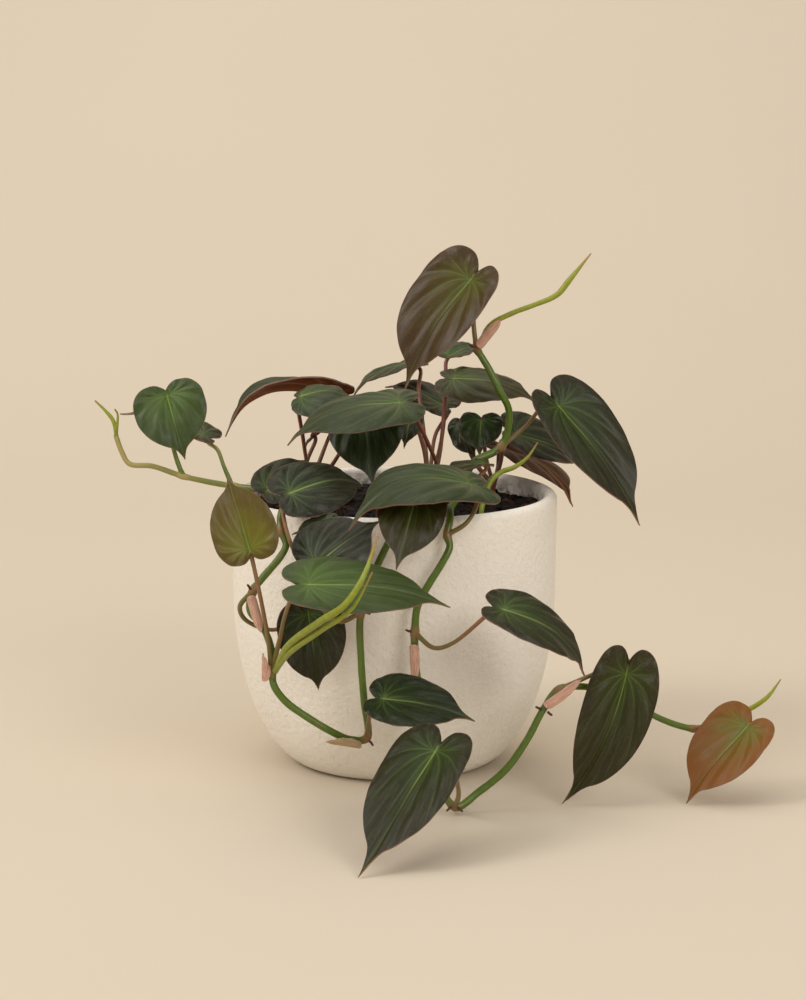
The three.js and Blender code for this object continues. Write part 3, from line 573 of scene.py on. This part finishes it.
# %%
def flat_blade(outline):
    edge = margin(outline)
    flat = []
    for point in disc.data.vertices:
        ring = math.hypot(point.co.x, point.co.y)
        turn = abs(math.atan2(point.co.y, point.co.x)) / math.pi if ring > 0.01 else 0
        spoke = round((1 - turn) * SPOKES / 2)
        side = -1 if point.co.y < -1e-6 else 1
        end = edge[spoke]
        bend = (RIB_START + (end.x - RIB_START) * VEIN_BEND[0], end.y * VEIN_BEND[1])
        along, across = bezier([(RIB_START, 0), bend, end], ring)
        nearest = min(VEIN_SPOKES, key=lambda vein: abs(vein - spoke))
        vein_end = edge[nearest]
        vein_bend = (RIB_START + (vein_end.x - RIB_START) * VEIN_BEND[0], vein_end.y * VEIN_BEND[1])
        vein = bezier([(RIB_START, 0), vein_bend, vein_end], ring)
        flat.append((along, across * side, ring, spoke, vein, end))
    return flat


heart = flat_blade(HEART)
boat = flat_blade(BOAT)

# %% [markdown]
# A leaf bends along its midrib, and its two halves fold up and curl down. This is the CAD model's own rule,
# so the blade lies inside its CAD solid. Real veins also pull the sheet in and leave low cushions between
# them.

# %%
WITHIN = 0.99  # share of the CAD width, which leaves room for the ripples
WAVE = 0.7
WAVES = 9  # half waves along one edge
QUILT = 0.95  # height of the cushions between the veins
CHANNEL = 0.6  # depth of the groove over the midrib
VEIN_VALLEY = 2.3  # how far from a vein the sheet has risen, and from the midrib
RIB_VALLEY = 0.9
CRUMPLE = 0.5  # height of the small uneven ripples


def squared(way, axis):
    return (way - axis * way.dot(axis) / axis.length_squared).normalized()


def midrib(leaf):
    base, tip, face = (Vector(leaf[key]) for key in ("base", "tip", "face"))
    along = tip - base
    up = squared(face, along)
    side = up.cross(along).normalized()
    sway = leaf.get("sway", (0, 0))
    middle = [base + along * (i + 1) / 3 + up * leaf["bow"][i] + side * sway[i] for i in range(2)]
    return [base, *middle, tip]


def tangent(points, share):
    return (bezier(points[1:], share) - bezier(points[:-1], share)).normalized()

# %%
def bent(leaf, rib, along, across, rise):
    share = min(max(along, 0), 1)
    axis = tangent(rib, share)
    up = squared(Vector(leaf["face"]), axis)
    side = up.cross(axis)
    out = abs(across)
    fold, curl = math.radians(leaf["fold"]), math.radians(leaf["curl"])
    width = leaf["width"] / 2 * WITHIN
    reach = width * (math.sin(fold + curl * out) - math.sin(fold)) / curl
    lift = width * (math.cos(fold) - math.cos(fold + curl * out)) / curl
    wave = leaf.get("wave", WAVE) * out * out * math.sin(WAVES * along + (2 if across < 0 else 0))
    length = (rib[-1] - rib[0]).length
    place = bezier(rib, share) + axis * (along - share) * length
    return place + side * math.copysign(reach, across) + up * (lift + wave + rise)

# %%
def thin_sheet(name, leaf, flat, thick, quilt, channel, seed, skins):
    """A copy of the disc, bent as the leaf says, with the distances in mm that its material reads."""
    piece = copy_of(disc, name)
    rib = midrib(leaf)
    length, width = (rib[-1] - rib[0]).length, leaf["width"] / 2
    places, ribs, veins, edges, outs, uvs = [], [], [], [], [], []
    for along, across, ring, spoke, vein, end in flat:
        from_rib = abs(across) * width
        from_vein = math.hypot((along - vein.x) * length, (abs(across) - vein.y) * width)
        cushion = quilt * (1 - math.exp(-((from_vein / VEIN_VALLEY) ** 2)))
        cushion *= max(0, math.sin(math.pi * ring**1.5))
        groove = channel * math.exp(-((from_rib / RIB_VALLEY) ** 2))
        ripple = CRUMPLE * ring * ring * noise.noise(Vector((along * 7, across * 4, seed)))
        ripple += CRUMPLE * 0.35 * ring * noise.noise(Vector((spoke / 2.2, ring * 3, seed)))
        places.append(bent(leaf, rib, along, across, cushion - groove + ripple) * MM)
        ribs.append(from_rib)
        veins.append(from_vein)
        edges.append(math.hypot((end.x - along) * length, (end.y - abs(across)) * width))
        outs.append(ring)
        uvs.append((1 - spoke / (SPOKES / 2), ring))
    mesh = piece.data
    mesh.vertices.foreach_set("co", [c for place in places for c in place])
    for key, values in (("rib_mm", ribs), ("vein_mm", veins), ("edge_mm", edges), ("out", outs)):
        mesh.attributes.new(key, "FLOAT", "POINT").data.foreach_set("value", values)
    layer = mesh.uv_layers[0] if mesh.uv_layers else mesh.uv_layers.new()
    layer.name = "spoke_and_ring"
    for loop in mesh.loops:
        layer.data[loop.index].uv = uvs[loop.vertex_index]
    for skin in skins:
        mesh.materials.append(skin)
    only(piece)
    solid = piece.modifiers.new("thickness", "SOLIDIFY")
    solid.thickness = thick * MM
    solid.offset = 0
    solid.material_offset = 1
    solid.material_offset_rim = 2
    bpy.ops.object.modifier_apply(modifier=solid.name)
    smooth(piece, 50)
    return piece


# %% [markdown]
# ## Velvet, underside and margin
#
# The upper side is covered in tiny papillae, each a lens of one cell. They scatter light into a soft sheen,
# so a blade looks dark and green straight on and pale and grey where it turns away. Pale grey-green flecks
# and streaks laid over its tone are painted sheen. Veins are paler green lines, and the midrib is the
# palest. The underside is red-brown and duller. The margin is a thin pinkish line.
#
# Each look is one age or colour of leaf: its tone near the stalk, its tone near the margin, and its
# underside. Two looks are darker copies of others, painted shade for leaves that lie in shade. Real
# papillae are about 0.05 mm across, too fine to show, so they are drawn at 0.4 mm.

# %%
LOOKS = {
    "dark": ("#25320a", "#211b06", "#5c3418"),
    # The look below is a darker copy of dark: painted shade for leaves in shade.
    "shaded_dark": ("#161f07", "#171305", "#5c3418"),
    "teal": ("#2f3f1c", "#263016", "#6d3420"),
    "arched": ("#2f3f1c", "#263016", "#8c4620"),
    "olive": ("#333a10", "#2f280d", "#6f3e22"),
    "brown": ("#3a2c12", "#381f0c", "#44200b"),
    "bronze": ("#48400c", "#3c2407", "#7a4a28"),
    "ochre": ("#6a6414", "#574616", "#7a4a28"),
    "bright": ("#3f5519", "#33401a", "#7a5a34"),
    "emerald": ("#203609", "#1a2406", "#6a4428"),
    "dark_olive": ("#2f3408", "#2a2206", "#5c3418"),
    # The look below is a darker copy of the greens: painted shade for a leaf in shade.
    "shaded_green": ("#172904", "#151d03", "#5c3418"),
    "young": ("#68580f", "#78450b", "#8f4f28"),
}
# Leaves 19, 22 and 27 take the darker copies, which paint shade on them.
LOOK_OF = {
    "leaf_04": "arched", "leaf_12": "emerald", "leaf_16": "brown", "leaf_18": "emerald", "leaf_19": "shaded_dark",
    "leaf_22": "shaded_dark", "leaf_23": "dark_olive", "leaf_25": "dark", "leaf_26": "ochre",
    "leaf_27": "shaded_green", "leaf_30": "dark_olive",
}
# The wrinkle streaks are bumps and painted sheen at once.
WRINKLES_AND_SHEEN = (46, 5, 1)  # wrinkles round half a blade, and from its joint to its margin


def velvet(look, near, far):
    made, tree, shader, coords = material(
        f"velvet_leaf_{look}", Roughness=0.38, Specular_IOR_Level=0.29,
        Sheen_Weight=0.03, Sheen_Roughness=0.35, Sheen_Tint=linear("#b7c4b4"),
    )
    keys = ("rib_mm", "vein_mm", "edge_mm", "out")
    rib, vein, edge, out = (add(tree, "Attribute", {"attribute_name": key}).outputs["Fac"] for key in keys)
    clouds = add(tree, "TexNoise", {"Scale": 120.0, "Detail": 5.0, "Roughness": 0.65}, {"Vector": coords})
    papillae_and_sheen = add(tree, "TexNoise", {"Scale": 2600.0, "Detail": 3.0}, {"Vector": coords}).outputs["Fac"]
    cloudy = add(tree, "Math", {"operation": "MULTIPLY_ADD", 1: 0.7}, {0: clouds.outputs["Fac"], 2: out})
    towards = add(
        tree, "MapRange", {"interpolation_type": "SMOOTHSTEP", "From Min": 0.55, "From Max": 1.3},
        {"Value": cloudy.outputs[0]},
    )
    tone = add(tree, "Mix", {"data_type": "RGBA", 6: linear(near), 7: linear(far)}, {0: towards.outputs[0]})
    flow = add(tree, "UVMap", {"uv_map": "spoke_and_ring"})
    drawn = add(tree, "Mapping", {"Scale": WRINKLES_AND_SHEEN}, {0: flow.outputs[0]})
    wrinkles_and_sheen = add(
        tree, "TexNoise", {"Scale": 1.0, "Detail": 4.0, "Distortion": 0.6}, {"Vector": drawn.outputs[0]}
    ).outputs["Fac"]
    outer = add(tree, "MapRange", {"From Min": 0.15, "From Max": 0.6}, {"Value": out}).outputs[0]
    inner = add(
        tree, "MapRange", {"From Min": 0.1, "From Max": 0.7, "To Min": 1.0, "To Max": 0.15}, {"Value": out}
    ).outputs[0]
    # Pale grey-green flecks of the papillae and streaks of the wrinkles: painted sheen.
    colour = over(tree, tone.outputs[2], papillae_and_sheen, 0.75, 0.5, 0.22, "#5f6c44")
    colour = over(tree, colour, wrinkles_and_sheen, 0.78, 0.5, 0.22, "#66724c", outer)
    colour = over(tree, colour, vein, 0.0, 1.2, 0.2, "#56702f", inner)
    colour = over(tree, colour, vein, 0.1, 0.35, 0.2, "#7c914a", inner)
    colour = over(tree, colour, rib, 0.0, 2.2, 0.36, "#5c7338", inner)
    colour = over(tree, colour, rib, 0.2, 0.65, 0.75, "#93a259", inner)
    colour = over(tree, colour, edge, 0.1, 0.4, 0.32, "#8a5f50")
    relief = add(tree, "Math", {"operation": "ADD"}, {0: wrinkles_and_sheen, 1: papillae_and_sheen})
    finish(tree, shader, colour, relief.outputs[0], 0.6, 0.1)
    return made

# %%
def underside(look, under):
    made, tree, shader, coords = material(
        f"leaf_underside_{look}", Roughness=0.5, Specular_IOR_Level=0.3, Sheen_Weight=0.05,
        Sheen_Tint=linear("#d8b79a"),
    )
    keys = ("rib_mm", "vein_mm")
    rib, vein = (add(tree, "Attribute", {"attribute_name": key}).outputs["Fac"] for key in keys)
    clouds = add(tree, "TexNoise", {"Scale": 150.0, "Detail": 5.0}, {"Vector": coords}).outputs["Fac"]
    tone = add(tree, "Mix", {"data_type": "RGBA", 6: linear(under), 7: linear("#553618")}, {0: clouds})
    colour = over(tree, tone.outputs[2], vein, 0.1, 0.6, 0.4, "#84502c")
    colour = over(tree, colour, rib, 0.3, 0.9, 0.7, "#98683c")
    finish(tree, shader, colour, clouds, 0.3, 0.1)
    return made

# %%
rim_skin, tree, shader, coords = material("leaf_margin_pinkish", Roughness=0.55)
spots = add(tree, "TexNoise", {"Scale": 500.0, "Detail": 3.0}, {"Vector": coords}).outputs["Fac"]
tone = add(tree, "Mix", {"data_type": "RGBA", 6: linear("#6d4a3c"), 7: linear("#94705e")}, {0: spots})
finish(tree, shader, tone.outputs[2])

VELVETS = {look: velvet(look, near, far) for look, (near, far, under) in LOOKS.items()}
UNDERSIDES = {look: underside(look, under) for look, (near, far, under) in LOOKS.items()}
print("leaf materials", len(VELVETS) + len(UNDERSIDES) + 1)

# %% [markdown]
# ## The 33 leaves
#
# Each leaf is a copy of the one disc, bent by its own row of values and given a thin wall, with the velvet
# above, the underside below and the margin round the edge. On a real plant no two leaves are alike, so each
# also gets its own small ripples.

# %%
BLADE_THICKNESS = 0.56
for seed, (name, leaf) in enumerate(LEAVES.items()):
    look = LOOK_OF.get(name, leaf["kind"])
    skins = (VELVETS[look], UNDERSIDES[look], rim_skin)
    blade = thin_sheet(f"{name}_velvet_blade", leaf, heart, BLADE_THICKNESS, QUILT, CHANNEL, seed, skins)
    keep(blade, name)

# %% [markdown]
# ## Stems and leaf stalks
#
# A vine is a round green rod with a swollen node wherever a stalk or a branch leaves it. A straight tube is
# modelled once in each of three lengths, by extruding a disc, and each shoot is a copy led along its own
# smooth curve. The shoots of one stem are joined, because on the plant they are grown as one.

# %%
def straight_tube(sides, rings):
    bpy.ops.object.select_all(action="DESELECT")
    bpy.ops.mesh.primitive_circle_add(vertices=sides, radius=1, fill_type="NGON")
    tube = bpy.context.object
    bpy.ops.object.mode_set(mode="EDIT")
    bpy.ops.mesh.select_all(action="SELECT")
    for _ in range(rings):
        bpy.ops.mesh.extrude_region_move(TRANSFORM_OT_translate={"value": (0, 0, 1)})
    bpy.ops.mesh.select_all(action="SELECT")
    bpy.ops.mesh.normals_make_consistent(inside=False)
    bpy.ops.object.mode_set(mode="OBJECT")
    return tube


STEM_SIDES = 14
SHORT, MIDDLING, LONG = 14, 44, 190  # rings of a tube
CURVE_STEPS = 24
NODE_SWELL = 0.3  # share of the radius, with a fine waist a little further on
NODE_REACH = 1.9
NODE_WAIST = 3.1
BLUSH_REACH = 2.2
SEAM_WIDTH = 0.35
TUBES = {rings: straight_tube(STEM_SIDES, rings) for rings in (SHORT, MIDDLING, LONG)}
print("straight tubes", list(TUBES))

# %%
def smooth_way(points, steps):
    """Even steps on the curve through the points: a cubic between each two, with centripetal spacing."""
    points = [Vector(point) for point in points]
    points = [points[0] * 2 - points[1]] + points + [points[-1] * 2 - points[-2]]
    dense = []
    for p0, p1, p2, p3 in zip(points, points[1:], points[2:], points[3:]):
        d0, d1, d2 = (max((b - a).length, 1e-4) ** 0.5 for a, b in ((p0, p1), (p1, p2), (p2, p3)))
        t1 = ((p1 - p0) / d0 - (p2 - p0) / (d0 + d1) + (p2 - p1) / d1) * d1
        t2 = ((p2 - p1) / d1 - (p3 - p1) / (d1 + d2) + (p3 - p2) / d2) * d1
        for i in range(CURVE_STEPS):
            t = i / CURVE_STEPS
            dense.append(
                p1 + t1 * t + (p2 * 3 - p1 * 3 - t1 * 2 - t2) * t**2 + (p1 * 2 - p2 * 2 + t1 + t2) * t**3
            )
    dense.append(points[-2])
    reach = [0.0]
    for a, b in zip(dense, dense[1:]):
        reach.append(reach[-1] + (b - a).length)
    even, at = [], 0
    for i in range(steps + 1):
        want = reach[-1] * i / steps
        while at < len(dense) - 2 and reach[at + 1] < want:
            at += 1
        even.append(dense[at].lerp(dense[at + 1], (want - reach[at]) / max(reach[at + 1] - reach[at], 1e-6)))
    return even

# %%
def led_tube(name, points, radii, joints, blush, seam=0.0, slim=0.9):
    """A tube along the points. Joints swell it, and blush is how red it is from its start to its end."""
    length = sum((Vector(b) - Vector(a)).length for a, b in zip(points, points[1:]))
    rings = SHORT if length < 16 else MIDDLING if length < 70 else LONG
    tube = copy_of(TUBES[rings], name)
    way = smooth_way(points, rings)
    normal = Vector((0.3, 0.8, 0.52))
    frames = []
    for i, place in enumerate(way):
        axis = (way[min(i + 1, rings)] - way[max(i - 1, 0)]).normalized()
        normal = squared(normal, axis)
        frames.append((place, normal, axis.cross(normal)))
    places, alongs, reds = [], [], []
    for point in tube.data.vertices:
        ring = round(point.co.z)
        place, out, side = frames[ring]
        angle = math.atan2(point.co.y, point.co.x)
        share = ring / rings
        near = min([(place - Vector(joint)).length for joint in joints], default=99)
        radius = slim * share_between(radii, share) * (1 + NODE_SWELL * math.exp(-((near / NODE_REACH) ** 2)))
        radius *= 1 - 0.05 * math.exp(-(((near - NODE_WAIST) / 0.7) ** 2))
        radius *= 1 + 0.05 * noise.noise(place / 4) - seam * math.exp(-((angle / SEAM_WIDTH) ** 2))
        places.append((place + (out * math.cos(angle) + side * math.sin(angle)) * radius) * MM)
        alongs.append(share)
        node_red = 0.7 * math.exp(-((near / BLUSH_REACH) ** 2))
        reds.append(min(1, blush[0] + (blush[1] - blush[0]) * share + node_red))
    tube.data.vertices.foreach_set("co", [c for place in places for c in place])
    tube.data.attributes.new("along", "FLOAT", "POINT").data.foreach_set("value", alongs)
    tube.data.attributes.new("blush", "FLOAT", "POINT").data.foreach_set("value", reds)
    smooth(tube, 60)
    return tube


FOOT_LEVELS = (86, 96, 105)  # a stem stands in the soil at these heights
STALK_END = ((-0.5, 1.9), (1.2, 0.55))  # along the midrib from the joint, and below the blade


def stalk_end(leaf):
    rib = midrib(leaf)
    axis = tangent(rib, 0)
    up = squared(Vector(leaf["face"]), axis)
    return [rib[0] + axis * along - up * below for along, below in STALK_END]


def whole_way(shoot):
    points = []
    if "foot" in shoot:
        x, y = shoot["foot"]
        points += [(x, y, level) for level in FOOT_LEVELS]
    points += shoot["way"]
    if "leaf" in shoot:
        points += stalk_end(LEAVES[shoot["leaf"]])
    return points


# %% [markdown]
# Stem skin: grass green with pale and dark flecks along it, turning red-brown at the nodes and towards the
# blades. It is smooth and slightly glossy, so narrow highlights run along it.

# %%
def stem_skin(name, green, fleck, red):
    made, tree, shader, coords = material(name, Roughness=0.34, Specular_IOR_Level=0.5)
    flecks = add(tree, "TexNoise", {"Scale": 600.0, "Detail": 4.0}, {"Vector": coords}).outputs["Fac"]
    slow = add(tree, "TexNoise", {"Scale": 90.0, "Detail": 2.0}, {"Vector": coords}).outputs["Fac"]
    blush = add(tree, "Attribute", {"attribute_name": "blush"}).outputs["Fac"]
    tone = add(tree, "Mix", {"data_type": "RGBA", 6: linear(green), 7: linear(fleck)}, {0: flecks})
    uneven = add(tree, "Math", {"operation": "MULTIPLY_ADD", 1: 0.7, 2: -0.38}, {0: slow})
    amount = add(tree, "Math", {"operation": "ADD", "use_clamp": True}, {0: blush, 1: uneven.outputs[0]})
    colour = over(tree, tone.outputs[2], amount.outputs[0], 1.0, 0.0, 1.0, red)
    finish(tree, shader, colour, flecks, 0.25, 0.1)
    return made


pale_skin = stem_skin("pale_young_stem", "#4d5c14", "#6c7c26", "#a3955a")
green_skin = stem_skin("living_green_stem", "#435810", "#5c741c", "#9a6048")
red_skin = stem_skin("reddish_leaf_stalk", "#5d5a2a", "#7a5a38", "#80453a")

# %%
for name, shoots in STEMS.items():
    joints = [shoot["way"][0] for shoot in shoots if "foot" not in shoot]
    reddish = name.startswith("stalk")
    tubes = []
    for shoot in shoots:
        is_stalk = "leaf" in shoot
        blush = (0.45, 0.9) if reddish else (0.35, 0.8) if is_stalk else (0.0, 0.0)
        if name == "stem_left":
            blush = (-0.6, 1.1)
        slim = 0.86 if is_stalk else 0.92
        tubes.append(led_tube(name, whole_way(shoot), shoot.get("radii", STALK), joints, blush, slim=slim))
    piece = joined(tubes, f"{name}_living")
    piece.data.materials.append(red_skin if reddish else pale_skin if name == "stem_left" else green_skin)
    keep(piece, name)

# %% [markdown]
# ## Rootlets
#
# Short brown air roots stand out of the nodes, one or two at each: small tapered pegs led like the stalks.

# %%
ROOTLETS = [
    [(6.8, -72.6, 67.5), (5, -73.6, 68), (3.2, -74.4, 69)],
    [(-10.6, -73.6, 75), (-9, -74.6, 75), (-7.2, -75.6, 74.4)],
    [(-53, -74, 84), (-53.6, -75, 85.4), (-54.6, -75.6, 87)],
    [(-46.2, -82, 53), (-47.8, -82.8, 52.2), (-49.6, -83.4, 52.4)],
    [(-44.6, -82, 52.6), (-44, -83, 51), (-43.4, -83.6, 49.4)],
    [(55, -75, 38.6), (53.4, -76, 39.2), (51.8, -76.6, 40.2)],
    [(57.6, -75, 37.4), (59, -76, 36.2), (60.4, -76.6, 35.6)],
    [(24, -84.4, 3.2), (25.4, -85.4, 2.2), (27, -86, 1)],
    [(21.4, -84, 3.4), (20, -85, 2.2), (18.6, -85.4, 0.9)],
    [(41.2, -13.4, 127), (40, -14.6, 125.8), (39, -15.4, 124)],
    [(-9, -75, 26.2), (-7.8, -76, 25.2), (-6.6, -76.6, 23.4)],
    [(30.8, -15, 167.6), (29.6, -16, 168.4), (28.2, -16.4, 169.8)],
]
ROOTLET_SHARE = 0.6  # of the length between the points above
pegs = []
for way in ROOTLETS:
    root, *rest = (Vector(point) for point in way)
    short = [root, *(root.lerp(point, ROOTLET_SHARE) for point in rest)]
    pegs.append(led_tube("rootlet", short, [0.65, 0.6, 0.5], [], (0.8, 1), slim=0.8))
rootlets = joined(pegs, "rootlets_at_the_nodes")
rootlets.data.materials.append(stem_skin("brown_air_root", "#4a3420", "#6a4c2e", "#4a2a1c"))
keep(rootlets, None)

# %% [markdown]
# ## Rolled new leaves
#
# A new leaf comes out as a tight roll, lime green with a peach-brown tip, and its free edge makes one line
# down its length. It is a led tube whose radius dips along that line.

# %%
ROLL_BACK = 1.6  # a roll starts this far inside the shoot that it grows from
young_skin, tree, shader, coords = material(
    "rolled_new_leaf", Roughness=0.4, Specular_IOR_Level=0.5, Subsurface_Weight=0.08
)
along = add(tree, "Attribute", {"attribute_name": "along"}).outputs["Fac"]
streaks = add(tree, "TexNoise", {"Scale": 420.0, "Detail": 4.0}, {"Vector": coords}).outputs["Fac"]
tone = add(tree, "Mix", {"data_type": "RGBA", 6: linear("#66771a"), 7: linear("#979f2c")}, {0: streaks})
tipped = over(tree, tone.outputs[2], along, 1.0, 0.86, 0.85, "#a5673a")
finish(tree, shader, tipped, streaks, 0.25, 0.1)

for name, shoots in SPEARS.items():
    rolls = []
    for shoot in shoots:
        way = [Vector(point) for point in whole_way(shoot)]
        if "foot" not in shoot:
            way[0] += (way[0] - way[1]).normalized() * ROLL_BACK
        rolls.append(led_tube(name, way, shoot["radii"], [], (0, 0), seam=0.28, slim=0.8))
    piece = joined(rolls, f"{name}_rolled_leaf")
    piece.data.materials.append(young_skin)
    keep(piece, name)

# %% [markdown]
# ## Papery sheaths
#
# Each new leaf leaves behind the thin sheath that wrapped it: a boat of papery skin round the node, pink or
# peach while fresh and tan when dry, with fine lines along it. It is the blade's disc with a boat outline.

# %%
SHEATH_THICKNESS = 0.3
SHEATH_WIDTH = 9
SHEATH_CURL = -150  # it wraps round the stem
SHEATH_CLEAR = 2.7  # from the middle of the stem
SHEATH_OPEN = 1.3  # its far end stands off further
PAPER_LINES = (26, 2, 1)


def paper(name, pale, dark):
    made, tree, shader, _ = material(name, Roughness=0.6, Specular_IOR_Level=0.4, Subsurface_Weight=0.1)
    across = add(tree, "UVMap", {"uv_map": "spoke_and_ring"})
    stretched = add(tree, "Mapping", {"Scale": PAPER_LINES}, {0: across.outputs[0]}).outputs[0]
    lines = add(tree, "TexNoise", {"Scale": 1.0, "Detail": 3.0}, {"Vector": stretched}).outputs["Fac"]
    streaks = add(tree, "MapRange", {"From Min": 0.25, "From Max": 0.72}, {"Value": lines}).outputs[0]
    tone = add(tree, "Mix", {"data_type": "RGBA", 6: linear(dark), 7: linear(pale)}, {0: streaks})
    finish(tree, shader, tone.outputs[2], lines, 0.5, 0.15)
    return made

# %%
fresh_paper = paper("fresh_pink_sheath", "#e6c0a6", "#a05444")
dry_paper = paper("dry_tan_sheath", "#d2b48c", "#80603e")
for seed, (name, sheath) in enumerate(SHEATHS.items()):
    off = Vector(sheath["face"]).normalized() * SHEATH_CLEAR
    leaf = dict(
        base=Vector(sheath["from"]) + off, tip=Vector(sheath["to"]) + off * SHEATH_OPEN,
        face=sheath["face"], width=SHEATH_WIDTH, bow=(0, 0), fold=0, curl=SHEATH_CURL, wave=0,
    )
    skin = dry_paper if name == "sheath_dry" else fresh_paper
    piece = thin_sheet(f"{name}_papery", leaf, boat, SHEATH_THICKNESS, 0, 0, seed + 50, [skin] * 3)
    keep(piece, name)

for master in [disc, *TUBES.values()]:
    bpy.data.objects.remove(master)

# %% [markdown]
# ## Floor, light and camera
#
# The photograph has one plain warm beige sweep and soft light all round, a little stronger from the upper
# left. The sweep is a plane whose back edge is raised into a wall and whose corner is rounded off. The
# camera stands about a metre away, a little above the pot. These numbers are in metres, apart from the
# camera's place.

# %%
FLOOR_SIZE = 12
WALL_AT = 1.8
WALL_RISE = 4
ROUNDING = 1.2
bpy.ops.object.select_all(action="DESELECT")
bpy.ops.mesh.primitive_plane_add(size=FLOOR_SIZE, location=(0, 0, 0))
sweep = bpy.context.object
sweep.name = "plain_sweep"
bpy.ops.object.mode_set(mode="EDIT")
bpy.ops.mesh.select_all(action="DESELECT")
bpy.ops.object.mode_set(mode="OBJECT")
for edge in sweep.data.edges:
    edge.select = all(sweep.data.vertices[i].co.y > 0 for i in edge.vertices)
bpy.ops.object.mode_set(mode="EDIT")
bpy.ops.mesh.select_mode(type="EDGE")
bpy.ops.mesh.extrude_region_move(TRANSFORM_OT_translate={"value": (0, 0, WALL_RISE)})
bpy.ops.mesh.select_all(action="SELECT")
bpy.ops.transform.translate(value=(0, WALL_AT - FLOOR_SIZE / 2, 0))
bpy.ops.mesh.normals_make_consistent(inside=True)
bpy.ops.object.mode_set(mode="OBJECT")
rounding = sweep.modifiers.new("rounding", "BEVEL")
rounding.width = ROUNDING
rounding.segments = 24
bpy.ops.object.modifier_apply(modifier=rounding.name)
bpy.ops.object.shade_smooth()
card, tree, shader, coords = material("plain_beige_sweep", Roughness=0.9, Specular_IOR_Level=0.1)
slow = add(tree, "TexNoise", {"Scale": 3.0, "Detail": 2.0}, {"Vector": coords}).outputs["Fac"]
tone = add(tree, "Mix", {"data_type": "RGBA", 6: linear("#d2c6b3"), 7: linear("#d5c9b7")}, {0: slow})
finish(tree, shader, tone.outputs[2])
sweep.data.materials.append(card)
print("sweep", len(sweep.data.vertices), "points")

# %%
POT_MIDDLE = (0, 0, 0.08)
LIGHTS = {
    "broad_overhead_softbox": ((-0.5, -0.35, 1.9), 2.4, 12, POT_MIDDLE),
    "key_from_upper_left": ((-1.5, -0.7, 1.5), 0.9, 14, POT_MIDDLE),
    "second_light_front_right": ((1.0, -1.7, 1.15), 0.9, 13, POT_MIDDLE),
    "backdrop_light": ((0, 0.75, 1.3), 1.0, 3, (0, 1.5, 0.1)),
}
for name, (place, size, power, aim) in LIGHTS.items():
    data = bpy.data.lights.new(name, "AREA")
    data.shape, data.size, data.energy, data.color = "DISK", size, power, linear("#fffaf4")[:3]
    light = bpy.data.objects.new(name, data)
    bpy.context.scene.collection.objects.link(light)
    light.location = place
    light.rotation_euler = (Vector(aim) - Vector(place)).to_track_quat("-Z", "Y").to_euler()
world = bpy.data.worlds.new("warm_room")
world.use_nodes = True
bpy.context.scene.world = world
world.node_tree.nodes["Background"].inputs["Color"].default_value = linear("#fffcf6")
world.node_tree.nodes["Background"].inputs["Strength"].default_value = 0.6
print("lights", len(LIGHTS))

# %%
CAMERA_PLACE = (3.6, -985.85, 272.43)
CAMERA_TILT = 80.35
CAMERA_LENS = 90.43
lens = bpy.data.cameras.new("camera")
lens.lens, lens.sensor_width, lens.sensor_fit = CAMERA_LENS, 36, "AUTO"
camera = bpy.data.objects.new("camera", lens)
bpy.context.scene.collection.objects.link(camera)
camera.location = tuple(c * MM for c in CAMERA_PLACE)
camera.rotation_euler = (math.radians(CAMERA_TILT), 0, 0)
bpy.context.scene.camera = camera
bpy.context.scene.view_settings.view_transform = "Standard"
print("camera", tuple(camera.location))
